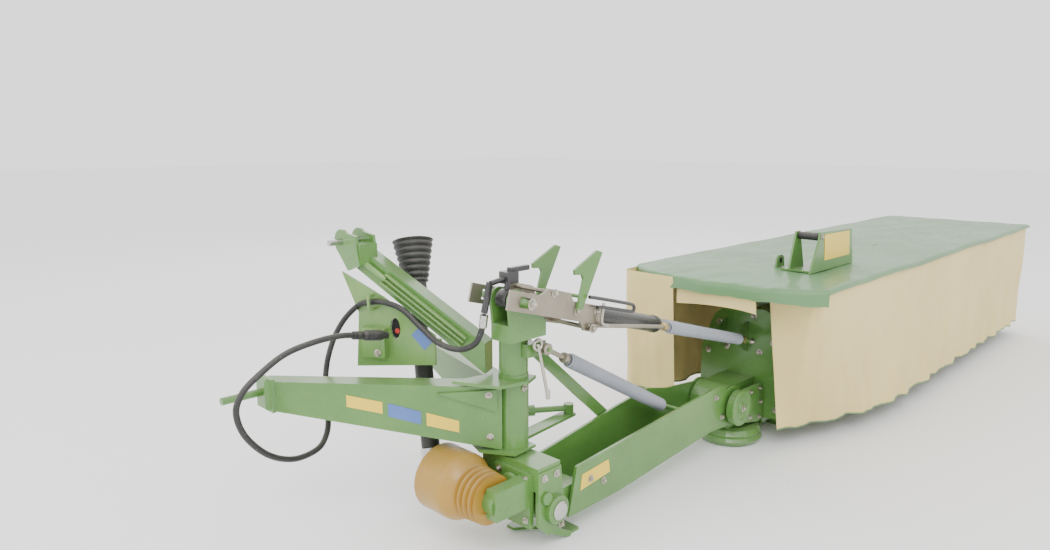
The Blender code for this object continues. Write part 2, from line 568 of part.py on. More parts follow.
def lift_linkage():
    place = on_line(LIFT_TOP, LIFT_LUG)
    length = math.dist(LIFT_TOP, LIFT_LUG)

    def at(along, y=LIFT_Y, across=0.0):
        x, z = place(along, across)
        return (x, y, z)

    half = CYLINDER_EYE_WIDTH / 2
    eye = cross_rod(LIFT_TOP, LIFT_Y - half, LIFT_Y + half, 0.034)
    barrel = rod(at(0.02), at(BARREL_LENGTH), BARREL_R)
    bore = rod(at(0.16), at(BARREL_LENGTH + 0.01), ROD_R + RUNNING, 16)
    pin_hole = cross_rod(LIFT_TOP, -0.3, 0.2, CYLINDER_PIN_R + RUNNING, 16)
    weld("cylinder_barrel", "lift_cylinder", BLACK, [barrel, eye], [bore, pin_hole])

    rod_eye = cross_rod(LIFT_LUG, LIFT_Y - half, LIFT_Y + half, CYLINDER_EYE_R)
    stem = rod(at(BARREL_LENGTH - ROD_INSIDE), at(length - 0.01), ROD_R, 16)
    weld("cylinder_rod", "cylinder_rod", BARE_STEEL, [stem, rod_eye],
         [cross_rod(LIFT_LUG, -0.3, 0.2, CYLINDER_PIN_R, 16)])

    outline = [(-0.09, -0.035), (0.30, -0.035), (0.33, -0.066), (0.40, -0.066), (0.43, -0.025), (0.43, 0.035),
               (0.24, 0.035), (0.22, 0.064), (0.10, 0.064), (0.06, 0.035), (-0.09, 0.035)]
    outline = [place(*p) for p in outline]
    slot = [place(*p) for p in ((-0.035, -0.0185), (0.045, -0.0185), (0.045, 0.0185), (-0.035, 0.0185))]
    low, high = LIFT_Y - LINK_PLATE_OFFSET, LIFT_Y + LINK_PLATE_OFFSET
    adds = [plate_xz(outline, low - LINK_PLATE / 2, low + LINK_PLATE / 2),
            plate_xz(outline, high - LINK_PLATE / 2, high + LINK_PLATE / 2),
            cross_rod(place(0.13, 0.052), low, high, 0.008, 12),
            cross_rod(place(0.365, -0.053), low - SPRING_OFFSET + LINK_PLATE_OFFSET,
                      high + SPRING_OFFSET - LINK_PLATE_OFFSET, 0.009, 12)]
    for y in (LIFT_Y - SPRING_OFFSET, LIFT_Y + SPRING_OFFSET):
        adds.append(rod(at(0.34, y, -0.045), at(SPRING_FROM - 0.002, y, 0.0), SPRING_GUIDE_R, 12))
    cuts = [plate_xz(slot, low - 0.02, low + 0.02), plate_xz(slot, high - 0.02, high + 0.02)]
    weld("slotted_link", "lift_cylinder", ZINC, adds, cuts)

    base = place(0.27, 0.02)
    hook_profile = [(-0.014, -0.012), (0.018, -0.012), (0.128, 0.190), (0.098, 0.200), (-0.030, 0.140),
                    (-0.028, 0.122), (0.012, 0.118), (0.020, 0.100)]
    hook_outline = [(base[0] + x, base[1] + z) for x, z in hook_profile]
    for_hooks = []
    for y in (low - LINK_PLATE / 2 - 0.010 - GAP, high + LINK_PLATE / 2 + GAP):
        for_hooks.append(plate_xz(hook_outline, y, y + 0.010))
    cross = place(0.27, 0.052)
    bar = cross_rod((cross[0] + 0.006, cross[1] + 0.004), low - 0.010, high + 0.010, 0.007, 12)
    weld("transport_hooks", "lift_cylinder", GREEN, [bar, *for_hooks])

    for name, y in (("near_spring", LIFT_Y - SPRING_OFFSET), ("far_spring", LIFT_Y + SPRING_OFFSET)):
        coil = turned([(0.016, 0.0), (SPRING_R, 0.02), (SPRING_R, length - SPRING_FROM - 0.06),
                       (0.012, length - SPRING_FROM - 0.03), (0.012, length - SPRING_FROM - 0.014)],
                      at(SPRING_FROM, y), at(length, y), 16)
        weld(name, "cylinder_rod", SPRING_GREY, [coil])


def mower_head():
    jx, jz = FOLD_PIVOT
    drum = cross_rod(FOLD_PIVOT, ARM_NEAR_Y + ARM_WALL + CLEAR, ARM_FAR_Y - ARM_WALL - CLEAR, EYE_R - 0.002, 28)
    trunnion = cross_rod(FOLD_PIVOT, ARM_NEAR_Y - 0.015, ARM_FAR_Y + 0.012, TRUNNION_R)
    block = box((jx + 0.01, ARM_NEAR_Y + 0.022, 0.0915 + GAP), (HEAD_X - GAP, ARM_FAR_Y - 0.022, jz + 0.09))
    weld("head_gearbox", "mower", GREEN, [drum, trunnion, block])

    face = ARM_NEAR_Y - 0.015 - GAP
    cap = cross_rod(FOLD_PIVOT, face - 0.030, face, 0.086, 28)
    cover = plate_xz([(jx, jz + 0.08), (jx + 0.21, jz + 0.075), (jx + 0.225, jz + 0.055), (jx + 0.225, jz - 0.11),
                      (jx + 0.205, jz - 0.125), (jx, jz - 0.08)], face - 0.022, face - 0.008)
    weld("head_cap", "mower", GREEN, [cap, cover])

    outline = [(-0.33, 0.11), (0.13, 0.11), (0.13, 0.42), (0.06, 0.60), (0.0, 0.65), (-0.22, 0.66),
               (-0.29, 0.63), (-0.33, 0.56)]
    plate = plate_yz(outline, HEAD_X, HEAD_X + HEAD_WALL)
    x, z = LIFT_LUG
    ear = [(HEAD_X + 0.006, z - 0.09), (HEAD_X + 0.006, z + 0.07), *arc(LIFT_LUG, 0.03, 80, 260, 8)]
    adds = [plate]
    for side in (-1, 1):
        inner = LIFT_Y + side * 0.055
        outer = LIFT_Y + side * 0.067
        adds.append(plate_xz(ear, min(inner, outer), max(inner, outer)))
        tip = LIFT_Y + side * (SPRING_OFFSET + 0.03)
        adds.append(cross_rod(LIFT_LUG, min(inner + side * 0.003, tip), max(inner + side * 0.003, tip), 0.010, 12))
    weld("head_plate", "mower", GREEN, adds)

    cx, cy = SHOE_CENTRE
    shoe = turned([(0.10, 0.0), (SHOE_R - 0.02, 0.006), (SHOE_R, 0.03), (SHOE_R - 0.012, 0.045),
                   (SHOE_R - 0.004, 0.06), (SHOE_R - 0.02, 0.082), (0.12, 0.0915)],
                  (cx, cy, 0.0), (cx, cy, 1.0), 28)
    weld("inner_shoe", "mower", GREEN, [shoe])


def cutterbar():
    rear, front = BAR_Y - BAR_WIDTH / 2, BAR_Y + BAR_WIDTH / 2
    last = FIRST_DISC_X + DISC_PITCH * (DISC_COUNT - 1)
    start = HEAD_X + HEAD_WALL + GAP
    flange = box((start, rear + 0.01, 0.118), (start + 0.085, front - 0.01, 0.20))
    neck = box((start + 0.052, rear + 0.005, BAR_BOTTOM + 0.005), (start + 0.088, front - 0.005, 0.195))
    bar = plate_yz([(rear, BAR_BOTTOM + 0.02), (rear + 0.02, BAR_BOTTOM), (front, BAR_BOTTOM),
                    (front + 0.035, BAR_BOTTOM + 0.02), (front, BAR_TOP), (rear + 0.01, BAR_TOP)],
                   start + 0.060, last + 0.13)
    adds = [bar, flange, neck]
    for k in range(DISC_COUNT):
        x = FIRST_DISC_X + DISC_PITCH * k
        skid = [(rear - 0.03, 0.028), (rear - 0.01, 0.0), (front - 0.02, 0.0), (front + 0.05, 0.030),
                (front + 0.04, 0.050), (rear, 0.045)]
        adds.append(plate_yz(skid, x - 0.13, x + 0.13))
        adds.append(rod((x, BAR_Y, BAR_TOP - 0.01), (x, BAR_Y, BAR_TOP + 0.006), 0.06, 16))
    weld("cutterbar", "mower", GREEN, adds)


def disc(number):
    """An oval disc with a blade at each end, turned a quarter from its neighbours."""
    x = FIRST_DISC_X + DISC_PITCH * (number - 1)
    quarter = math.pi / 2 * ((number - 1) % 2)
    angles = [2 * math.pi * k / 24 for k in range(24)]
    place = Matrix.Translation((x, BAR_Y, 0)) @ Matrix.Rotation(quarter, 4, "Z")
    loops = []
    base = BAR_TOP + 0.006 + 0.005
    for share, height in ((1.0, 0.0), (1.0, 0.012), (0.75, 0.026), (0.36, 0.050), (0.30, 0.062)):
        loops.append([place @ Vector((DISC_LONG * share * math.cos(a), DISC_SHORT * share * math.sin(a), base + height))
                      for a in angles])
    adds = [loft(loops)]
    for side in (-1, 1):
        near, far = side * (DISC_LONG - 0.05), side * BLADE_REACH
        corners = [(near, -BLADE_WIDTH / 2), (far, -BLADE_WIDTH / 2 + 0.01), (far, BLADE_WIDTH / 2 - 0.01),
                   (near, BLADE_WIDTH / 2)]
        adds.append(loft([[place @ Vector((*c, base + z)) for c in corners] for z in (0.003, 0.008)]))
    name = f"disc_{number}"
    body(name, (x, BAR_Y, base))
    weld(name, name, GREEN, adds)


def wall(top, bottom, z_top, z_bottom, steps):
    """A standing sheet through two plan lines of equally many points, thickened by a step at each."""
    points = []
    for high, low, inward in zip(top, bottom, steps):
        points.append((high[0], high[1], z_top))
        points.append((low[0], low[1], z_bottom))
        points.append((low[0] + inward[0], low[1] + inward[1], z_bottom))
        points.append((high[0] + inward[0], high[1] + inward[1], z_top))
    faces = [(0, 3, 2, 1)]
    for k in range(0, len(points) - 4, 4):
        a, b, c, d, e, f, g, h = range(k, k + 8)
        faces += [(a, b, f), (a, f, e), (d, g, c), (d, h, g), (b, c, g, f), (a, e, h, d)]
    last = len(points) - 4
    faces.append((last, last + 1, last + 2, last + 3))
    return scratch(points, faces)


def cover():
    low = COVER_TOP - COVER_WALL
    edge = GUARD_HINGE[0] - 0.005
    sheet = plate_xy([(NOTCH_OUT, NOTCH_REAR), (COVER_IN, NOTCH_REAR), (COVER_IN, COVER_REAR + 0.03),
                      (COVER_IN + 0.15, COVER_REAR), (COVER_OUT, COVER_REAR), (COVER_OUT, edge),
                      (GUARD_IN - 0.005, edge), (GUARD_IN - 0.005, COVER_FRONT), (COVER_IN + 0.02, COVER_FRONT - 0.01),
                      (COVER_IN, COVER_FRONT - 0.03), (COVER_IN, NOTCH_FRONT), (NOTCH_OUT, NOTCH_FRONT)],
                     low, COVER_TOP)
    weld("cover_sheet", "mower", COVER_GREEN, [sheet])
    flap = box((COVER_IN, NOTCH_REAR + GAP, low), (NOTCH_OUT - GAP, NOTCH_FRONT - GAP, COVER_TOP))
    weld("cover_flap", "mower", COVER_GREEN, [flap])

    top_in, out = COVER_IN + 0.01, COVER_OUT - 0.012
    rear = COVER_REAR + 0.002
    top = [(1.305, -0.345), (1.285, rear + 0.035), (1.335, rear), (2.24, rear), (out, rear),
           (out, edge)]
    bottom = [(1.42, -0.37), (1.60, -0.44), (1.90, -0.55), (2.24, rear), (out, rear), (out, edge)]
    steps = [(SKIRT_WALL, SKIRT_WALL)] * 4 + [(-SKIRT_WALL, SKIRT_WALL), (-SKIRT_WALL, 0.0)]
    weld("rear_skirt", "mower", CANVAS, [wall(top, bottom, low - GAP, SKIRT_BOTTOM, steps)])
    front = COVER_FRONT - 0.005
    top = [(GUARD_IN - 0.01, front), (top_in + 0.02, front - 0.012), (top_in, front - 0.035), (top_in, NOTCH_FRONT + 0.005)]
    bottom = [(GUARD_IN - 0.01, front), (top_in + 0.06, front - 0.012), (top_in + 0.05, front - 0.035),
              (top_in + 0.05, NOTCH_FRONT + 0.005)]
    steps = [(0.0, -SKIRT_WALL), (SKIRT_WALL, -SKIRT_WALL), (SKIRT_WALL, -SKIRT_WALL), (SKIRT_WALL, 0.0)]
    weld("inner_front_skirt", "mower", CANVAS, [wall(top, bottom, low - GAP, SKIRT_BOTTOM + 0.10, steps)])

    beam_low, beam_high = 0.600, 0.650
    adds = [box((HEAD_X + HEAD_WALL + GAP, BAR_Y - 0.025, beam_low), (COVER_OUT - 0.06, BAR_Y + 0.025, beam_high))]
    for x in (1.90, 3.25, 4.72):
        adds.append(box((x, BAR_Y - 0.02, beam_low + 0.01), (x + 0.04, BAR_Y + 0.02, low - GAP)))
        adds.append(box((x + 0.002, COVER_REAR + 0.06, low - 0.045), (x + 0.038, edge - 0.02, low - 0.005)))
    weld("cover_frame", "mower", GREEN, adds)

    guard_edge = GUARD_HINGE[0] + 0.005
    guard = box((GUARD_IN, guard_edge, low), (COVER_OUT, COVER_FRONT, COVER_TOP))
    weld("front_cover", "front_guard", COVER_GREEN, [guard])
    line = [(out, guard_edge), (out, front), (GUARD_IN + 0.005, front)]
    steps = [(-SKIRT_WALL, 0.0), (-SKIRT_WALL, -SKIRT_WALL), (0.0, -SKIRT_WALL)]
    weld("front_skirt", "front_guard", CANVAS, [wall(line, line, low - GAP, SKIRT_BOTTOM, steps)])


def sign_bracket():
    x, z = ROLLER
    base = COVER_TOP + GAP
    side = [(x - 0.10, base), (x + 0.40, base), (x + 0.36, z + 0.015), (x - 0.016, z + 0.025), (x - 0.022, z - 0.015)]
    near = plate_xz(side, -0.402, -0.392)
    far = plate_xz([(x - 0.08, base), (x + 0.08, base), (x + 0.02, z + 0.02), (x - 0.02, z + 0.02)], -0.284, -0.274)
    floor = box((x - 0.08, -0.40, base), (x + 0.40, -0.24, base + 0.008))
    brace = plate_xz([(x + 0.25, base), (x + 0.39, base), (x + 0.33, z - 0.03)], -0.284, -0.274)
    tie = box((x + 0.315, -0.395, z - 0.075), (x + 0.335, -0.278, z - 0.055))
    bar = cross_rod((x, z), -0.397, -0.278, 0.008, 10)
    weld("sign_bracket", "mower", GREEN, [near, far, floor, brace, tie, bar])
    roller = tube((x, -0.388, z), (x, -0.288, z), 0.019, 0.0085, 16)
    weld("catch_roller", "mower", BLACK, [roller])


def breakaway_strut():
    root, head = Vector(STRUT_ROOT), Vector(STRUT_HEAD)
    flat_head = Vector((head.x, head.y, head.z))
    along = (flat_head - root).normalized()
    length = (flat_head - root).length
    eye = rod(root - Vector((0, 0, 0.039)), root + Vector((0, 0, 0.022)), 0.024, 16)
    sleeve_tube = rod(root, root + along * (length * 0.62), STRUT_R + 0.006, 16)
    bore = rod(root + along * 0.04, root + along * length * 0.7, STRUT_R - 0.004, 16)
    weld("breakaway_sleeve", "breakaway_sleeve", GREEN, [sleeve_tube, eye], [bore])
    inner = rod(root + along * (length * 0.62 - 0.16), flat_head, STRUT_R - 0.005, 16)
    end = rod(flat_head - Vector((0, 0, 0.021)), flat_head + Vector((0, 0, 0.02)), 0.022, 16)
    weld("breakaway_rod", "breakaway_rod", GREEN, [inner, end])


def smooth_route(points, count):
    """Points at even steps along a smooth curve through the route."""
    route = [Vector(p) for p in points]
    padded = [route[0] * 2 - route[1], *route, route[-1] * 2 - route[-2]]
    fine = []
    for a, b, c, d in zip(padded, padded[1:], padded[2:], padded[3:]):
        for k in range(12):
            t = k / 12
            fine.append(0.5 * (2 * b + (c - a) * t + (2 * a - 5 * b + 4 * c - d) * t * t
                               + (3 * b - a - 3 * c + d) * t ** 3))
    fine.append(route[-1])
    lengths = [0.0]
    for one, two in zip(fine, fine[1:]):
        lengths.append(lengths[-1] + (two - one).length)
    steps = np.linspace(0.0, lengths[-1], count)
    columns = [np.interp(steps, lengths, [p[axis] for p in fine]) for axis in range(3)]
    return list(zip(*columns))


def hose():
    curve = bpy.data.curves.new("hydraulic_hose", "CURVE")
    curve.dimensions = "3D"
    curve.bevel_depth = HOSE_R
    curve.bevel_resolution = 2
    curve.use_fill_caps = True
    spline = curve.splines.new("POLY")
    points = smooth_route(HOSE_ROUTE, HOSE_POINTS)
    spline.points.add(len(points) - 1)
    home = Vector(axes["headstock"].location)
    for knot, place in zip(spline.points, points):
        knot.co = (*(Vector(place) - home), 1.0)
    obj = bpy.data.objects.new("hydraulic_hose", curve)
    bpy.context.scene.collection.objects.link(obj)
    material = bpy.data.materials.new("hydraulic_hose")
    material.use_nodes = True
    shader = material.node_tree.nodes["Principled BSDF"]
    shader.inputs["Base Color"].default_value = (*BLACK[0], 1.0)
    shader.inputs["Roughness"].default_value = BLACK[1]
    curve.materials.append(material)
    obj.parent = axes["headstock"]
    end, before = Vector(points[-1]), Vector(points[-2])
    onward = (end - before).normalized()
    start = end + onward * GAP
    coupler = turned([(0.013, 0.0), (0.016, 0.02), (0.020, 0.03), (0.020, 0.085), (0.014, 0.095), (0.014, 0.115)],
                     start, start + onward, 16)
    weld("hose_coupler", "headstock", BLACK, [coupler])


def main():
    for obj in list(bpy.data.objects):
        bpy.data.objects.remove(obj)
    body("headstock", (0, 0, 0))
    body("swing_head", (0, 0, 0))
    body("carrying_arm", (ARM_PIVOT[0], 0, ARM_PIVOT[1]))
    body("mower", (FOLD_PIVOT[0], 0, FOLD_PIVOT[1]))
    body("lift_cylinder", (LIFT_TOP[0], 0, LIFT_TOP[1]))
    body("cylinder_rod", (LIFT_LUG[0], 0, LIFT_LUG[1]))
    body("relief_spring", (RELIEF_TOP[0], 0, RELIEF_TOP[1]))
    body("stop_link", (STOP_TOP[0], 0, STOP_TOP[1]))
    body("front_guard", (0, *GUARD_HINGE))
    body("breakaway_sleeve", STRUT_ROOT)
    body("breakaway_rod", STRUT_HEAD)
    sleeve()
    hitch_frame()
    top_link_beam()
    side_plate()
    king_post()
    pivot_casting()
    parking_foot()
    guard_cup()
    drive_shaft()
    shutoff_valve()
    carrying_arm()
    stop_link()
    relief_spring()
    lift_linkage()
    mower_head()
    cutterbar()
    for number in range(1, DISC_COUNT + 1):
        disc(number)
    cover()
    sign_bracket()
    breakaway_strut()
    hose()


main()
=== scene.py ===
"""Looks for a side-mounted disc mower: fabric cover, coils, guards, fittings and their finishes."""
import math

import bpy
import numpy as np
from bpy.props import FloatProperty, FloatVectorProperty, IntProperty, PointerProperty
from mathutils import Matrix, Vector


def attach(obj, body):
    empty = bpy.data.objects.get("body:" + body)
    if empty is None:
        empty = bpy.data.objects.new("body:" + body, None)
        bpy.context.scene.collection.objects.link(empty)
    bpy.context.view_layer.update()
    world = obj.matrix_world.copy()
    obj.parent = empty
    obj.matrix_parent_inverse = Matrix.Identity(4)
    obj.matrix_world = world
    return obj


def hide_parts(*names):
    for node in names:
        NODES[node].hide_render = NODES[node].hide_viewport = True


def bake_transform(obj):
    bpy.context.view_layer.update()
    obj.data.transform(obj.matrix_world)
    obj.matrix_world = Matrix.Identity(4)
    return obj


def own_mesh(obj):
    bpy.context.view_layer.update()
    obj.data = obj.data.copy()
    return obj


bl_info = {
    "name": "Disc mower looks",
    "version": (1, 0, 0),
    "blender": (4, 5, 0),
    "location": "3D View > Sidebar > Mower",
    "description": "Builds the cover, springs, guards and fittings around a packed disc mower",
    "category": "Object",
}

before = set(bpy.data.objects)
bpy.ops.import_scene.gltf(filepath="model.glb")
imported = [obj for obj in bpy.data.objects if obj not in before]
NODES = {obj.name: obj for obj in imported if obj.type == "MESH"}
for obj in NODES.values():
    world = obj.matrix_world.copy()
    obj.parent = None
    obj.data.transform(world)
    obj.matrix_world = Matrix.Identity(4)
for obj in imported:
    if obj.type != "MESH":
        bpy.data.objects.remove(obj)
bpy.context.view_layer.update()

X_AXIS = np.array([1.0, 0.0, 0.0])
Y_AXIS = np.array([0.0, 1.0, 0.0])
Z_AXIS = np.array([0.0, 0.0, 1.0])
LIFT_TOP = np.array([-0.10, -0.07, 0.94])
LIFT_LUG = np.array([1.42, -0.07, 0.52])
LIFT_WAY = (LIFT_LUG - LIFT_TOP) / np.linalg.norm(LIFT_LUG - LIFT_TOP)
LIFT_UP = np.array([-LIFT_WAY[2], 0.0, LIFT_WAY[0]])
RELIEF_TOP = np.array([0.07, -0.10, 0.73])
RELIEF_END = np.array([0.86, -0.10, 0.30])
COVER_TOP = 0.855
COVER_OUT = 4.90
COVER_REAR = -0.63
COVER_FRONT = 0.41
HINGE_Y = 0.12


# ---------------------------------------------------------------- shapes

def unit(v):
    """A vector over its own length."""
    v = np.asarray(v, float)
    return v / np.linalg.norm(v, axis=-1, keepdims=True)


def quads(rows, columns, around=False):
    """Faces of a grid: each takes its own point, the next along, and the two on the next row."""
    i = np.arange(rows - 1)[:, None]
    j = np.arange(columns if around else columns - 1)[None, :]
    step = (j + 1) % columns
    faces = np.stack([i * columns + j, i * columns + step, (i + 1) * columns + step, (i + 1) * columns + j],
                     -1)
    return faces.reshape(-1, 4).tolist()


def skin(grid, around=True, caps=True):
    """A grid of points as a shape; a grid closed around takes a flat face over each end row."""
    rows, columns = grid.shape[:2]
    faces = quads(rows, columns, around)
    if around and caps:
        faces.append(list(range(columns))[::-1])
        faces.append(list(range((rows - 1) * columns, rows * columns)))
    return grid.reshape(-1, 3), faces


def gather(shapes):
    """Many shapes as one: points in a row, faces counted on."""
    points, faces, count = [], [], 0
    for co, fs in shapes:
        points.append(co)
        faces += [[i + count for i in f] for f in fs]
        count += len(co)
    return np.concatenate(points), faces


def basis(way):
    """Two directions square to a way and to each other."""
    way = unit(way)
    hint = X_AXIS if abs(way[0]) < 0.8 else Y_AXIS
    one = unit(np.cross(way, hint))
    return one, np.cross(way, one)


def lathe(profile, start, end, sides=24):
    """A profile of (radius, distance) turned about a line: p = start + t*way + r*(cos, sin)."""
    profile = np.asarray(profile, float)
    start = np.asarray(start, float)
    way = unit(np.asarray(end, float) - start)
    one, two = basis(way)
    a = np.linspace(0, 2 * np.pi, sides, endpoint=False)
    spokes = np.cos(a)[:, None] * one + np.sin(a)[:, None] * two
    grid = start + profile[:, 1, None, None] * way + profile[:, 0, None, None] * spokes
    return skin(grid)


def round_bar(start, end, radius, sides=16, edge=0.15):
    """A bar with a small round at each end."""
    length = np.linalg.norm(np.asarray(end, float) - np.asarray(start, float))
    e = min(radius * edge, length / 4)
    profile = [(radius - e, 0), (radius - e * 0.3, e * 0.3), (radius, e), (radius, length - e),
               (radius - e * 0.3, length - e * 0.3), (radius - e, length)]
    return lathe(profile, start, end, sides)


def pipe(path, radius, sides=12, hint=Z_AXIS):
    """A circle carried along a path: across = hint less its share along the path, other = way x across."""
    path = np.asarray(path, float)
    way = unit(np.gradient(path, axis=0))
    across = unit(hint - (way @ hint)[:, None] * way)
    other = np.cross(way, across)
    a = np.linspace(0, 2 * np.pi, sides, endpoint=False)
    radius = np.broadcast_to(np.asarray(radius, float), len(path))
    grid = path[:, None] + radius[:, None, None] * (
        np.cos(a)[None, :, None] * across[:, None] + np.sin(a)[None, :, None] * other[:, None])
    return skin(grid)


def smooth_path(route, count):
    """A smooth curve through a route at even steps (cubic through each four neighbours)."""
    route = np.asarray(route, float)
    ext = np.vstack([2 * route[0] - route[1], route, 2 * route[-1] - route[-2]])
    t = np.linspace(0, 1, 12, endpoint=False)[None, :, None]
    a, b, c, d = (ext[k:len(ext) - 3 + k][:, None] for k in range(4))
    fine = 0.5 * (2 * b + (c - a) * t + (2 * a - 5 * b + 4 * c - d) * t ** 2
                  + (3 * b - a - 3 * c + d) * t ** 3)
    fine = np.vstack([fine.reshape(-1, 3), route[-1:]])
    along = np.concatenate([[0], np.cumsum(np.linalg.norm(np.diff(fine, axis=0), axis=1))])
    steps = np.linspace(0, along[-1], count)
    return np.stack([np.interp(steps, along, fine[:, k]) for k in range(3)], 1)


def coil(start, end, radius, wire, turns, steps=16, sides=7, taper=1.6):
    """A spring: p = start + t*way + R(t)*(cos, sin) of 2 pi turns t; R closes in over the last turns."""
    start, end = np.asarray(start, float), np.asarray(end, float)
    way = unit(end - start)
    one, two = basis(way)
    t = np.linspace(0, 1, int(turns * steps) + 1)
    a = 2 * np.pi * turns * t
    close = np.clip(np.minimum(t, 1 - t) * turns / taper, 0, 1)
    r = radius * (0.55 + 0.45 * close * close * (3 - 2 * close))
    spokes = np.cos(a)[:, None] * one + np.sin(a)[:, None] * two
    path = start + t[:, None] * (end - start) + r[:, None] * spokes
    tangent = unit(np.gradient(path, axis=0))
    across = unit(spokes - np.sum(spokes * tangent, 1)[:, None] * tangent)
    other = np.cross(tangent, across)
    b = np.linspace(0, 2 * np.pi, sides, endpoint=False)
    grid = path[:, None] + wire * (np.cos(b)[None, :, None] * across[:, None] + np.sin(b)[None, :,
                                                            None] * other[:, None])
    return skin(grid)


def inset(outline, amount):
    """An outline moved in by an amount: each corner along the mean of its two edges' normals, stretched."""
    before = outline - np.roll(outline, 1, 0)
    after = np.roll(outline, -1, 0) - outline
    n1 = unit(np.stack([-before[:, 1], before[:, 0]], 1))
    n2 = unit(np.stack([-after[:, 1], after[:, 0]], 1))
    mean = unit(n1 + n2)
    stretch = 1 / np.maximum(0.5, np.sum(mean * n1, 1))
    return outline + mean * (amount * stretch)[:, None]


def slab(outline, origin, across, up, thick, edge=0.0015):
    """A plate: an outline in (across, up), carried along across x up, with a small chamfer all round."""
    outline = np.asarray(outline, float)
    x, y = outline[:, 0], outline[:, 1]
    if np.sum(x * np.roll(y, -1) - np.roll(x, -1) * y) < 0:
        outline = outline[::-1]
    across, up = np.asarray(across, float), np.asarray(up, float)
    out = np.cross(across, up)
    edge = min(edge, abs(thick) / 3)
    rings = []
    for move, height in ((edge, 0.0), (0.0, edge), (0.0, thick - edge), (edge, thick)):
        ring = inset(outline, move)
        rings.append(np.asarray(origin, float) + ring[:, :1] * across + ring[:, 1:] * up + height * out)
    return skin(np.stack(rings))


def oval(centre, half_long, half_short, steps=20, turn=0.0):
    """Points round an oval, turned by an angle."""
    a = np.linspace(0, 2 * np.pi, steps, endpoint=False)
    x, y = half_long * np.cos(a), half_short * np.sin(a)
    c, s = math.cos(turn), math.sin(turn)
    return np.stack([centre[0] + c * x - s * y, centre[1] + s * x + c * y], 1)


def hex_bolt(place, way, size=0.009, height=0.008, washer=True, stud=True):
    """A hexagon head on its washer, with a short stud end standing out of it."""
    place, way = np.asarray(place, float), unit(way)
    shapes = []
    if washer:
        shapes.append(lathe([(size * 0.5, 0), (size * 1.45, 0), (size * 1.5, 0.0008), (size * 1.5, 0.0022),
                             (size * 1.4, 0.0028)], place, place + way, 20))
    base = place + way * 0.0026
    shapes.append(lathe([(size, 0), (size, height * 0.82), (size * 0.86, height)], base, base + way, 6))
    if stud:
        shapes.append(lathe([(size * 0.55, height), (size * 0.55, height + size * 0.25),
                             (size * 0.42, height + size * 0.4)],
                            base, base + way, 12))
    return gather(shapes)


def put(name, shape, body, material, replaces=(), sharp=35):
    """A shape as an object at the origin that rides a body."""
    points, faces = shape
    mesh = bpy.data.meshes.new(name)
    mesh.from_pydata(points.tolist(), [], faces)
    mesh.validate()
    mesh.shade_smooth()
    mesh.set_sharp_from_angle(angle=math.radians(sharp))
    mesh.materials.append(bpy.data.materials[material])
    obj = bpy.data.objects.new(name, mesh)
    bpy.context.scene.collection.objects.link(obj)
    if body:
        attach(obj, body)
    if replaces:
        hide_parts(*replaces)
    return obj


# ---------------------------------------------------------------- finishes

def new_group(name, inputs, outputs):
    """A shader node group with named sockets; returns it, its nodes' maker and its two ends."""
    group = bpy.data.node_groups.new(name, "ShaderNodeTree")
    for title, kind, value in inputs:
        socket = group.interface.new_socket(title, in_out="INPUT", socket_type=kind)
        if value is not None:
            socket.default_value = value
    for title, kind in outputs:
        group.interface.new_socket(title, in_out="OUTPUT", socket_type=kind)

    def node(kind, values=None, **settings):
        made = group.nodes.new("ShaderNode" + kind)
        for key, value in settings.items():
            setattr(made, key, value)
        for key, value in (values or {}).items():
            if isinstance(value, bpy.types.NodeSocket):
                group.links.new(value, made.inputs[key])
            else:
                made.inputs[key].default_value = value
        return made

    start = group.nodes.new("NodeGroupInput")
    end = group.nodes.new("NodeGroupOutput")
    return group, node, start.outputs, end.inputs


def mix_colour(node, factor, one, two, way="MIX"):
    """Mixes two colours; returns the colour socket."""
    made = node("Mix", {"Factor": factor}, data_type="RGBA", blend_type=way)
    colour_inputs = [s for s in made.inputs if s.type == "RGBA"]
    for socket, value in zip(colour_inputs, (one, two)):
        if isinstance(value, bpy.types.NodeSocket):
            made.id_data.links.new(value, socket)
        else:
            socket.default_value = value
    return [s for s in made.outputs if s.type == "RGBA"][0]


def spread(node, value, low, high, to_low, to_high):
    """A value taken from one range to another, held inside it."""
    return node("MapRange", {"Value": value, "From Min": low, "From Max": high, "To Min": to_low,
                             "To Max": to_high}).outputs["Result"]


